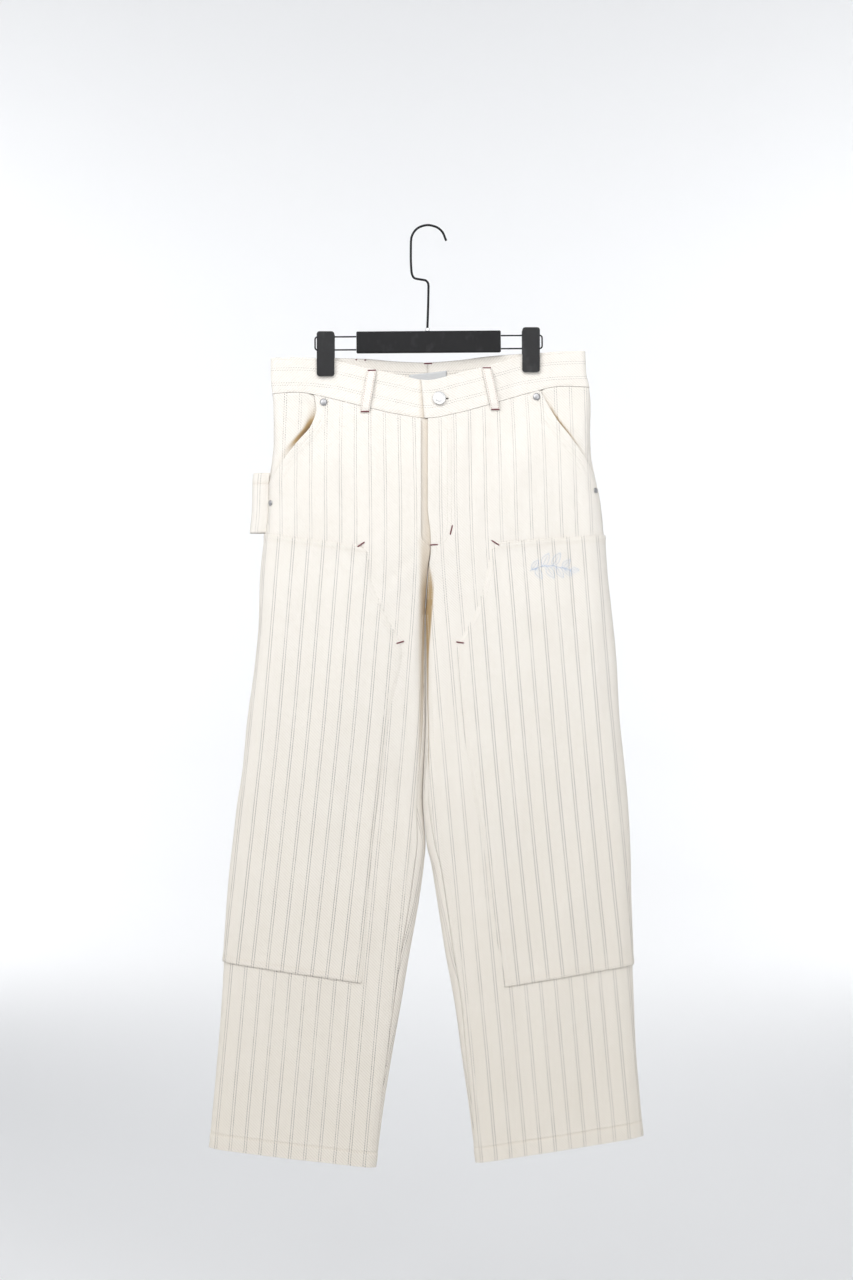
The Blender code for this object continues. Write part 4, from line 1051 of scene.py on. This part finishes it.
def knee_point(side, turn, down, lift=0.0):
    """Points on a knee panel: its turned edges stand up a little between their stitch rows."""
    out = out_at(side, turn, down)
    ends, inside = knee_reach(side, turn, down)
    edge = np.minimum(ends, inside)
    rise = 0.8 * smoothstep(11.0, 8.5, ends) - 0.75 * hump(ends, KNEE_ROWS[1], 1.1)
    rise = rise - 0.45 * hump(ends, KNEE_ROWS[0], 0.9) - 1.25 * (1 - round_edge(ends + 0.1, 1.8))
    rise = rise - 0.12 * hump(inside, KNEE_ROWS[1], 1.2) - 1.35 * smoothstep(5.5, 0, inside)
    x = SIDES[side] * out
    rise = rise + 1.2 * PUCKER(x, down) * np.exp(-np.abs(edge) / 8)
    lifted = ring_normal(side, turn, down) * (rise + lift + KNEE_LIFT)[..., None]
    return ring(side, turn, down) + lifted


def sew_front(side):
    """Rows of stitches on a front: pocket mouth, hem, side seam, inseam and crotch seam."""
    rows = []
    sign = SIDES[side]
    down = spread(BAND_LOW[FRONT](147.0) + 4, MOUTH_END - 4)
    for inside in MOUTH_ROWS:
        rows.append(on_panel(side, FRONT, turn_at(side, MOUTH[side](down) - inside, down), down))
    inner = INNER[side](1200.0) + 1.5
    turn, down = part_of_line(side, FRONT, HEM, OUTER[side](1190.0) - 0.3, inner, HEM_SEWING, 110)
    rows.append(on_panel(side, FRONT, turn, down))
    for low, high in ((MOUTH_END + 14, 396), (992, 1186)):
        down = spread(low, high, 120)
        for reach in SEAM_ROWS:
            turn = front_start(side, down) + turn_over(side, np.full_like(down, 0.12), down, reach)
            rows.append(on_panel(side, FRONT, turn, down))
    down = spread(505, 1198, 260)
    for reach in SEAM_ROWS:
        end = front_end(side, down)
        turn = end - turn_over(side, np.minimum(end, math.pi - 0.1), down, reach)
        rows.append(on_panel(side, FRONT, turn, down))
    if side == "left":
        for reach in FLY_ROWS:
            down = spread(404, 486)
            rows.append(on_panel(side, FRONT, turn_at(side, FLY_EDGE[side](down) + reach, down), down))
        for reach in FLY_FACING_ROWS:
            out, down = fly_curve(reach)
            rows.append(on_panel(side, FRONT, turn_at(side, out, down), down))
    return stitches("stitches_front_" + side, rows, "cream thread")


def fly_curve(reach):
    """The curved row that holds the fly's facing: down beside the fly, then round to its foot."""
    straight = spread(BAND_LOW[FRONT](30.0) + 3, 385, 60)
    angle = spread(0, math.pi / 2, 24)
    wide, high = 24 - reach, 34 - reach
    out = np.concatenate([np.full_like(straight, 30.0 - reach), 6 + wide * np.cos(angle)])
    down = np.concatenate([straight, 385 + high * np.sin(angle)])
    return out, down


def sew_knee(side):
    """Two rows along the top and the inner edge of a knee panel, and one or two at its foot."""
    rows = []

    def row(turn, down):
        points = knee_point(side, turn, down, 0.12)
        rows.append((points, ring_normal(side, turn, down)))

    for inset in KNEE_ROWS:
        for line, flip in ((KNEE_TOP, -1), (KNEE_BOTTOM, 1)):
            outer = float(OUTER[side](400.0 if line is KNEE_TOP else 960.0)) - 0.5
            inner = float(knee_edge(side, np.array(420.0 if line is KNEE_TOP else 985.0))) + inset
            turn, down = part_of_line(side, FRONT, line, outer, inner, flip * inset)
            row(turn, down)
        upper = spread(424 + inset, 541 + inset * 0.5, 70)
        lower = spread(541 + inset * 0.5, 984 - inset, 200)
        for down in (upper, lower):
            out = knee_edge(side, down) + inset / 0.94
            row(turn_at(side, out, down), down)
        down = spread(408, 955, 200)
        turn = front_start(side, down) + turn_over(side, np.full_like(down, 0.12), down, inset + 0.6)
        row(turn, down)
    return stitches("stitches_knee_" + side, rows, "cream thread")


def sew_back(side):
    """Rows of stitches on a back: hem, middle seam and inseam."""
    rows = []
    inner = INNER[side](1200.0) + 1.5
    turn, down = part_of_line(side, BACK, HEM, OUTER[side](1190.0) - 0.3, inner, HEM_SEWING, 110)
    rows.append(on_panel(side, BACK, turn, down))
    down = spread(232, 488, 90)
    for reach in SEAM_ROWS if side == "left" else SEAM_ROWS[:1]:
        out = np.maximum(0.3, INNER[side](down)) + reach
        rows.append(on_panel(side, BACK, 2 * math.pi - turn_at(side, out, down), down))
    down = spread(222, 1186, 300)
    turn = 2 * math.pi - turn_over(side, np.full_like(down, 0.12), down, SEAM_ROWS[0] + 0.6)
    rows.append(on_panel(side, BACK, turn, down))
    return stitches("stitches_back_" + side, rows, "cream thread")


def make_facings():
    """The cloth that shows inside each pocket mouth, and runs on under the front."""
    rows, columns = 50, 44
    for side, sign in SIDES.items():
        number = np.tile(np.arange(columns + 1, dtype=float), (rows + 1, 1))
        share = np.linspace(0, 1, rows + 1)[:, None]
        down = np.full_like(number, 280.0)
        for _ in range(SETTLING):
            inner = turn_at(side, MOUTH[side](down) - FACING_UNDER, down)
            start = by_seam(seam_gap, side, down)
            first = start + by_seam(turn_over, side, down, SEAM_COLUMN)
            turn = np.where(number == 0, start, first + (inner - first) * (number - 1) / (columns - 1))
            top = BAND_LOW[FRONT](out_at(side, turn, down)) + GAP
            down = down + (top + (FACING_END - top) * share - down) * 0.9
        past = out_at(side, turn, down) - MOUTH[side](down)
        wide = 5 + 27 * smoothstep(MOUTH_END - 8, MOUTH_END - 60, down)
        inset = FACING_INSET - FACING_RISE * smoothstep(0.5, wide, past)
        seam = smoothstep(16, 1, down - top) * smoothstep(1, 9, past)
        inset = inset - (inset - 0.1) * seam
        points = ring(side, turn, down) - ring_normal(side, turn, down) * inset[..., None]
        grain = [(165, sign * 183.0), (350, sign * 189.0)]
        cloth = measured(points, down, grain, -sign)
        shade = MOUTH_SHADE[side]
        dark = shade.depth * hump(down, shade.down, shade.length)
        dark = dark * smoothstep(shade.width, shade.width * 0.3, past)
        name = "cloth_pocket_facing_" + side
        facing = sheet_of(name, points, cloth, CLOTH, "striped twill", sign < 0, dark)
        worn(facing, "pocket_facing", "pocket_facing_" + side)


def torso_frame(x, face, down):
    """Points at the waist or the fly, on either side of the middle, and the normals there."""
    side_left = x > 0

    def at(out, down):
        left, right = place("left", face, out, down), place("right", face, out, down)
        return np.where(side_left[..., None], left, right)

    out, step = np.abs(x), 1.5
    across = at(out + step, down) - at(out - step, down)
    along = at(out, down + step) - at(out, down - step)
    normal = unit(np.cross(across, along))
    normal = np.where((normal[..., 1] * face < 0)[..., None], -normal, normal)
    return at(out, down), normal


def make_fly_shield():
    rows, columns = 60, 22
    x = np.tile(np.linspace(SHIELD_RIGHT, SHIELD_LEFT, columns + 1), (rows + 1, 1))
    top = BAND_LOW[FRONT](np.abs(x)) + GAP
    down = top + (SHIELD_BOTTOM - top) * np.linspace(0, 1, rows + 1)[:, None]
    points, normals = torso_frame(x, FRONT, down)
    points = points - normals * SHIELD_INSET
    cloth = np.stack([x + 5.0, down], axis=-1) * MM
    shade = SHIELD_SHADE * (0.45 + 0.55 * smoothstep(-11, 1, x)) * smoothstep(232, 262, down)
    shield = sheet_of("cloth_fly_shield", points, cloth, CLOTH, "plain twill", True, shade)
    worn(shield, "fly_shield", "fly_shield")


def band_points(side, sweep, share):
    """Points of a waistband half. The sweep is 0 at the front's middle and pi at the back's."""
    front = sweep <= math.pi / 2
    down = np.full_like(sweep, 190.0)
    for _ in range(12):
        out = OUTER[side](down) * np.sin(sweep)
        top = np.where(front, BAND_TOP[FRONT](out), BAND_TOP[BACK](out))
        low = np.where(front, BAND_LOW[FRONT](out), BAND_LOW[BACK](out))
        down = top + (low - top) * share
    out = OUTER[side](down) * np.sin(sweep)
    faces = place(side, FRONT, out, down), place(side, BACK, out, down)
    return np.where(front[..., None], faces[0], faces[1]), out, low - top


def band_surface(side, sweep, share, lift=0.0):
    """Points on the outside of the band, whose edges round in, and the normals there."""
    point, out, height = band_points(side, sweep, share)
    ahead, behind = band_points(side, sweep + 0.01, share)[0], band_points(side, sweep - 0.01, share)[0]
    around = ahead - behind
    normal = np.stack([around[..., 1], -around[..., 0], np.zeros_like(out)], -1)
    normal = unit(normal) * SIDES[side]
    rise = np.full_like(out, BAND_PROUD)
    if side == "right":
        under = UNDERLAP_INSET * smoothstep(UNDERLAP_START, UNDERLAP_FULL, out)
        rise = rise - np.where(sweep < math.pi / 2, under, 0)
    edge = np.minimum(share, 1 - share) * height
    rise = rise - 0.9 * (1 - round_edge(edge + 0.15, 1.6)) - 0.3 * hump(edge, BAND_SEWING, 1.0)
    rise = rise + PUCKER(out * np.where(sweep < math.pi / 2, 1, -1) * SIDES[side], share * height) * 0.9
    return point + normal * (rise + lift)[..., None], normal, height


def make_waistband():
    """Two halves, which lap at the front and meet at the middle of the back."""
    columns, rows = 200, 22
    for side, sign in SIDES.items():
        reach = BAND_OVERLAP if side == "left" else BAND_UNDERLAP
        start = -math.asin(reach / OUTER[side](200.0))
        end = math.pi - math.asin(BACK_SEAM / OUTER[side](200.0))
        rows_at = 0.5 - 0.5 * np.cos(np.linspace(0.12, math.pi - 0.12, rows + 1))
        rows_at = (rows_at - rows_at[0]) / (rows_at[-1] - rows_at[0])
        part, share = np.meshgrid(np.linspace(0, 1, columns + 1), rows_at)
        lean = BAND_LEAN * (0.5 - share) / OUTER[side](200.0) if side == "left" else 0
        sweep = start - lean * (1 - part) ** 4 + (end - start) * part
        points, _, height = band_surface(side, sweep, share)
        out = OUTER[side](200.0) * np.sin(sweep)
        shade = LAP_SHADE * smoothstep(13, 7, out) * (sweep < 1) if side == "right" else None
        cloth = np.stack([share * height - 15.2, lengths_along(points)], axis=-1) * MM
        name = "cloth_waistband_" + side
        band = sheet_of(name, points, cloth, BAND_CLOTH, "band twill", sign > 0, shade)
        sewing = []
        for inset in (BAND_SEWING, -BAND_SEWING):
            turn = spread(start + 0.01, end - 0.005, 240)
            height_here = band_surface(side, turn, np.full_like(turn, 0.5))[2]
            share = inset / height_here if inset > 0 else 1 + inset / height_here
            points, normals, _ = band_surface(side, turn, share, 0.12)
            sewing.append((points, normals))
        rows_of = stitches("stitches_waistband_" + side, sewing, "cream thread")
        worn(band, "waistband", "waistband_" + side, with_pieces=[rows_of])


def loop_frame(loop, share, across, lift=0.0):
    """Points on a belt loop's outside and the normals there."""
    x = loop.x + (loop.to_x - loop.x) * share + across
    down = loop.down + (loop.to_down - loop.down) * share
    on_band = smoothstep(5, 1, down - BAND_LOW[loop.face](np.abs(x)))
    rise = BAND_PROUD * on_band + GAP + 0.05 + LOOP_CLOTH
    rise = rise + LOOP_STANDOFF * np.sin(math.pi * np.clip(share, 0, 1)) ** 0.7
    edge = LOOP_WIDTH / 2 - np.abs(across)
    rise = rise - 0.5 * (1 - round_edge(edge + 0.1, 1.2)) + lift
    points, normals = torso_frame(x, loop.face, down)
    return points + normals * rise[..., None], normals


def make_belt_loops():
    """Each loop is a folded strip, stitched along both edges and barred at both ends."""
    for loop in BELT_LOOPS:
        widths = np.linspace(-0.5, 0.5, 13) * LOOP_WIDTH
        share, across = np.meshgrid(np.linspace(0, 1, 41), widths, indexing="ij")
        points, _ = loop_frame(loop, share, across)
        length = math.hypot(loop.to_x - loop.x, loop.to_down - loop.down)
        cloth = np.stack([across, share * length], axis=-1) * MM
        strip = sheet_of("cloth_" + loop.name, points, cloth, LOOP_CLOTH, "plain twill", loop.face == FRONT)
        rows = []
        for edge in (-1, 1):
            share = spread(0.03, 0.97, 40)
            rows.append(loop_frame(loop, share, np.full_like(share, edge * (LOOP_WIDTH / 2 - 1.5)), 0.1))
        edges = stitches("stitches_" + loop.name, rows, "rust thread", 1.6, 2.9, 0.30)
        bars = []
        for at in (0.015, 0.985):
            bars.append(bar_rows(loop_frame(loop, np.full(2, at), np.array([-5.2, 5.2]), 0.35)))
        for start, end in INSIDE_BARS.get(loop.name, ()):
            x = loop.x + np.array([start, end])
            points, normals = torso_frame(x, BACK, BAND_TOP[BACK](np.abs(x)) + 1.7)
            bars.append(bar_rows((points + normals * (BAND_PROUD - BAND_CLOTH - 0.4), -normals)))
        tacks = zigzag("tacks_" + loop.name, bars)
        worn(strip, "belt_loop", loop.name, with_pieces=[edges, tacks])


def bar_rows(ends):
    """The two ends of a bar tack and the cloth's normal at its middle."""
    points, normals = ends
    return points[0], points[1], unit(normals.mean(axis=0))


TACK_PITCH, TACK_WIDTH, TACK_RADIUS = 0.55, 1.8, 0.48


def zigzag(name, bars, material="maroon thread"):
    """Bar tacks: close zigzag stitches across a short bar."""
    centres, alongs, ups = [], [], []
    for start, end, up in bars:
        run = end - start
        count = int(np.linalg.norm(run) / TACK_PITCH)
        side = unit(np.cross(run, up))
        for i in range(count):
            lean = unit(run) * TACK_PITCH * (0.5 if i % 2 else -0.5)
            centres.append(start + run * (i + 0.5) / count)
            alongs.append(side * TACK_WIDTH + lean)
            ups.append(up)
    lists = (np.array(part) for part in (centres, alongs, ups))
    return stitch_mesh(name, *lists, material, TACK_RADIUS)


# Bar tacks on the fronts: the two ends of each, seen from the front.
Tack = namedtuple("Tack", "side on x down to_x to_down")
TACKS = [
    Tack("left", "front", 31.4, 390.2, 28.6, 401.8),
    Tack("left", "front", 2.6, 415.4, 12.4, 414.8),
    Tack("right", "knee", -91.0, 417.6, -82.0, 411.6),
    Tack("left", "knee", 82.0, 409.4, 91.4, 415.6),
    Tack("right", "knee", -40.6, 542.4, -31.4, 539.6),
    Tack("left", "knee", 36.6, 540.4, 46.4, 542.0),
]


def finish_sewing(obj):
    """Makes a piece of sewing ride with the garment."""
    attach(obj, "root")


def make_tacks():
    for number, tack in enumerate(TACKS):
        out = np.abs(np.array([tack.x, tack.to_x]))
        down = np.array([tack.down, tack.to_down]) + TILT * np.array([tack.x, tack.to_x])
        turn = turn_at(tack.side, out, down)
        if tack.on == "knee":
            points = knee_point(tack.side, turn, down, 0.5)
        else:
            points = cloth_point(tack.side, FRONT, turn, down, 0.4)
        normals = ring_normal(tack.side, turn, down)
        bar = zigzag(f"bar_tack_{number + 1}", [bar_rows((points, normals))])
        finish_sewing(bar)


def make_buttonhole():
    """The end of the buttonhole beside the button: a dark zigzag of painted shade where the slit opens."""
    x = np.array([21.0, 26.2])
    points, normals = torso_frame(x, FRONT, np.full(2, 226.1))
    bar = bar_rows((points + normals * (BAND_PROUD + 0.25), normals))
    hole = zigzag("buttonhole", [bar], "painted shade and stripe mark thread")
    finish_sewing(hole)


# A sprig embroidered on the left knee panel: its middle, its stem and its leaves.
SPRIG_OUT, SPRIG_DOWN, SPRIG_LENGTH, SPRIG_ARCH = 158, 452, 54, 7
Leaf = namedtuple("Leaf", "along lean length width")
LEAVES = [
    Leaf(0.06, -1.0, 15, 3.6),
    Leaf(0.14, 1.0, 16, 3.8),
    Leaf(0.30, -1.1, 19, 4.4),
    Leaf(0.40, 1.0, 19, 4.4),
    Leaf(0.54, -1.0, 20, 4.6),
    Leaf(0.64, 1.0, 17, 4.0),
    Leaf(0.78, -0.8, 15, 3.8),
    Leaf(0.84, 0.8, 13, 3.2),
    Leaf(0.97, 0.0, 12, 3.2),
]


def sprig_row(across, drop):
    """A row of stitches on the panel, through places about the sprig's middle."""
    out, down = SPRIG_OUT + across, SPRIG_DOWN + drop
    turn = turn_at("left", out, down)
    return knee_point("left", turn, down, 0.15), ring_normal("left", turn, down)


def make_sprig():
    """A stem with leaves, each an outline and a vein, in one colour of thread."""
    share = spread(0, 1, 60)
    stem_x = (share - 0.5) * SPRIG_LENGTH
    stem_y = SPRIG_ARCH * np.cos(math.pi * (share - 0.35)) * -1 + 6 * (0.5 - share)
    rows = [sprig_row(stem_x, stem_y)]
    for leaf in LEAVES:
        x, y = np.interp(leaf.along, share, stem_x), np.interp(leaf.along, share, stem_y)
        part = spread(0, 1, 24)
        for bulge in (-1, 0, 1):
            along = leaf.length * (part if bulge else part * 0.72)
            aside = bulge * leaf.width * np.sin(math.pi * part ** 0.85)
            turned_x = along * math.cos(leaf.lean) - aside * math.sin(leaf.lean)
            turned_y = along * math.sin(leaf.lean) + aside * math.cos(leaf.lean)
            rows.append(sprig_row(x + turned_x, y + turned_y))
    sprig = stitches("embroidered_sprig", rows, "pale blue thread", 1.8, 2.0, 0.34)
    finish_sewing(sprig)


def make_tool_loop():
    """A wide strap, caught in the right side seam, that bows out and is sewn to the back."""
    side, rows, columns = "right", 40, 90
    total = len(STRAP_PATH) + 1
    downs = np.linspace(STRAP_TOP, STRAP_BOTTOM, rows + 1)
    points = np.empty((rows + 1, columns + 1, 3))
    for j, down in enumerate(downs):
        outer = float(OUTER[side](down))
        path = [(outer + strap.out, strap.back) for strap in STRAP_PATH]
        for seat in (STRAP_SEAT_START, STRAP_SEAT_END):
            out = outer + seat
            lift = GAP + 0.05 + STRAP_CLOTH + (1.2 if seat == STRAP_SEAT_START else 0)
            point, normal = torso_frame(np.array([-out]), BACK, np.array([down]))
            point = point[0] + normal[0] * lift
            path.append((-point[0], point[1]))
        numbers = total * np.arange(columns + 1) / columns
        out = curve_through([(i, out) for i, (out, _) in enumerate(path)])(numbers)
        y = curve_through([(i, y) for i, (_, y) in enumerate(path)])(numbers)
        points[j] = np.stack([-out, y, -TILT * out - down], axis=-1)
    along = lengths_along(points)
    drop = np.tile((downs - STRAP_TOP)[:, None], (1, columns + 1))
    around, down_step = np.gradient(points, axis=1), np.gradient(points, axis=0)
    normals = unit(np.cross(down_step, around))
    edge = np.minimum(drop, STRAP_BOTTOM - STRAP_TOP - drop)
    rise = 0.4 * smoothstep(15.5, 13.5, drop) - 0.45 * hump(drop, STRAP_HEM, 1.2)
    rise = rise - 0.5 * (1 - round_edge(edge + 0.1, 1.2))
    if normals[rows // 2, 30, 0] > 0:
        normals = -normals
    points = points + normals * rise[..., None]
    cloth = np.stack([along - 12.0, drop], axis=-1) * MM
    shade = 0.20 * hump(drop, STRAP_HEM, 1.3) + 0.20 * smoothstep(2.0, 0.0, drop)
    strap = sheet_of("cloth_tool_loop", points, cloth, STRAP_CLOTH, "striped twill", True, shade)
    sewing = []
    for drop_at in (2.0, STRAP_HEM, STRAP_BOTTOM - STRAP_TOP - 2.6):
        row = int(round(drop_at / (STRAP_BOTTOM - STRAP_TOP) * rows))
        sewing.append((points[row, 2:-2] + normals[row, 2:-2] * 0.12, normals[row, 2:-2]))
    for column_at in (columns - 3, columns - 8):
        sewing.append((points[1:-1, column_at] + normals[1:-1, column_at] * 0.12, normals[1:-1, column_at]))
    rows_of = stitches("stitches_tool_loop", sewing, "cream thread")
    folded = (points[1, 2:-2] + normals[1, 2:-2] * 0.1, normals[1, 2:-2])
    marks = stitches("marks_tool_loop", [folded], "painted shade and stripe mark thread", 1.1, 2.3, 0.42)
    worn(strap, "tool_loop", "tool_loop", with_pieces=[rows_of, marks])


def make_label():
    """A plain label on the inside of the back of the waistband, sewn down along its top."""
    columns, rows = 24, 12
    x, down = np.meshgrid(
        np.linspace(-0.5, 0.5, columns + 1) * LABEL_WIDTH,
        np.linspace(LABEL_TOP, LABEL_BOTTOM, rows + 1),
    )
    down = down - LABEL_LEAN * x
    points, normals = torso_frame(x, BACK, down)
    points = points + normals * (BAND_PROUD - BAND_CLOTH - GAP - 0.35)
    cloth = np.stack([x, down], axis=-1) * MM
    label = sheet_of("cloth_label", points, cloth, LABEL_THICK, "label", False)
    worn(label, "label", "label", rests_on=("waistband_left", "waistband_right"))


def finish_metal():
    """The button, the rivets and the hanger keep their solids and get their finishes."""
    finishes = {
        "button": "button metal",
        "rivet": "rivet metal",
        "hanger_bar": "hanger black",
        "hanger_wire": "black wire",
        "clip_jaw": "clip black",
        "clip_spring": "spring steel",
        "hook_ferrule": "ferrule metal",
        "hook": "black wire",
    }
    for name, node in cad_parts.items():
        for start, material in finishes.items():
            if name.startswith(start):
                node.data.materials.clear()
                node.data.materials.append(MATERIALS[material])
                break


CAMERA_PLACE, CAMERA_LENS, CAMERA_SENSOR = (-0.002, -3.0, -0.538), 64.9, 36
SKY, SKY_STRENGTH = (0.97, 0.985, 1.0, 1), 0.43
FLOOR_Z = -1.62


def make_studio():
    """A pale bowl of a studio around the garment, soft lights and the camera."""
    profile = [(0.0, 0.0), (5.0, 0.0), (6.2, 0.12), (7.1, 0.55), (7.7, 1.4), (8.0, 2.8), (8.0, 7.0)]
    count = 96
    points, faces = [], []
    for radius, height in profile:
        for k in range(count):
            angle = 2 * math.pi * k / count
            spot = (radius * math.cos(angle), radius * math.sin(angle), FLOOR_Z + height)
            points.append([value / MM for value in spot])
    for j in range(len(profile) - 1):
        for k in range(count):
            after = (k + 1) % count
            faces.append((j * count + k, j * count + after, (j + 1) * count + after, (j + 1) * count + k))
    bowl = put(mesh_of("studio_floor", points, faces), "studio_floor", "studio white")

    Light = namedtuple("Light", "name place aim size power")
    lights = [
        Light("key", (-1.45, -1.9, 1.05), (0, 0, -0.1), 1.7, 38),
        Light("fill", (1.3, -2.9, 0.2), (0, 0, -0.1), 1.5, 21),
        Light("top", (0.1, -1.5, 1.1), (0, 0, -0.15), 0.9, 14),
        Light("side_right", (-2.6, 0.5, -0.2), (0, 0, -0.5), 1.6, 7),
        Light("side_left", (2.6, 0.5, -0.2), (0, 0, -0.5), 1.6, 7),
        Light("rear", (1.4, 3.2, 1.9), (0, 0, -0.5), 2.4, 35),
        Light("wall_right", (-3.4, 4.6, 0.6), (-0.6, 8.0, 0.2), 2.0, 86),
        Light("wall_left", (3.4, 4.6, 0.6), (0.6, 8.0, 0.2), 2.0, 86),
    ]
    for light in lights:
        data = bpy.data.lights.new(light.name, "AREA")
        data.shape = "SQUARE"
        data.size = light.size
        data.energy = light.power
        obj = bpy.data.objects.new(light.name, data)
        obj.location = light.place
        obj.rotation_mode = "QUATERNION"
        obj.rotation_quaternion = (Vector(light.aim) - Vector(light.place)).to_track_quat("-Z", "Y")
        bpy.context.scene.collection.objects.link(obj)

    world = bpy.data.worlds.new("studio")
    world.use_nodes = True
    sky = world.node_tree.nodes["Background"]
    sky.inputs[0].default_value = SKY
    sky.inputs[1].default_value = SKY_STRENGTH
    bpy.context.scene.world = world
    bpy.context.scene.view_settings.view_transform = "Standard"

    data = bpy.data.cameras.new("camera")
    data.sensor_width = CAMERA_SENSOR
    data.lens = CAMERA_LENS
    camera = bpy.data.objects.new("camera", data)
    camera.location = CAMERA_PLACE
    camera.rotation_euler = (math.pi / 2, 0, 0)
    bpy.context.scene.collection.objects.link(camera)
    bpy.context.scene.camera = camera


make_materials()
make_panels()
make_facings()
make_fly_shield()
make_waistband()
make_belt_loops()
make_tool_loop()
make_label()
make_tacks()
make_buttonhole()
make_sprig()
finish_metal()
make_studio()

bpy.context.view_layer.update()
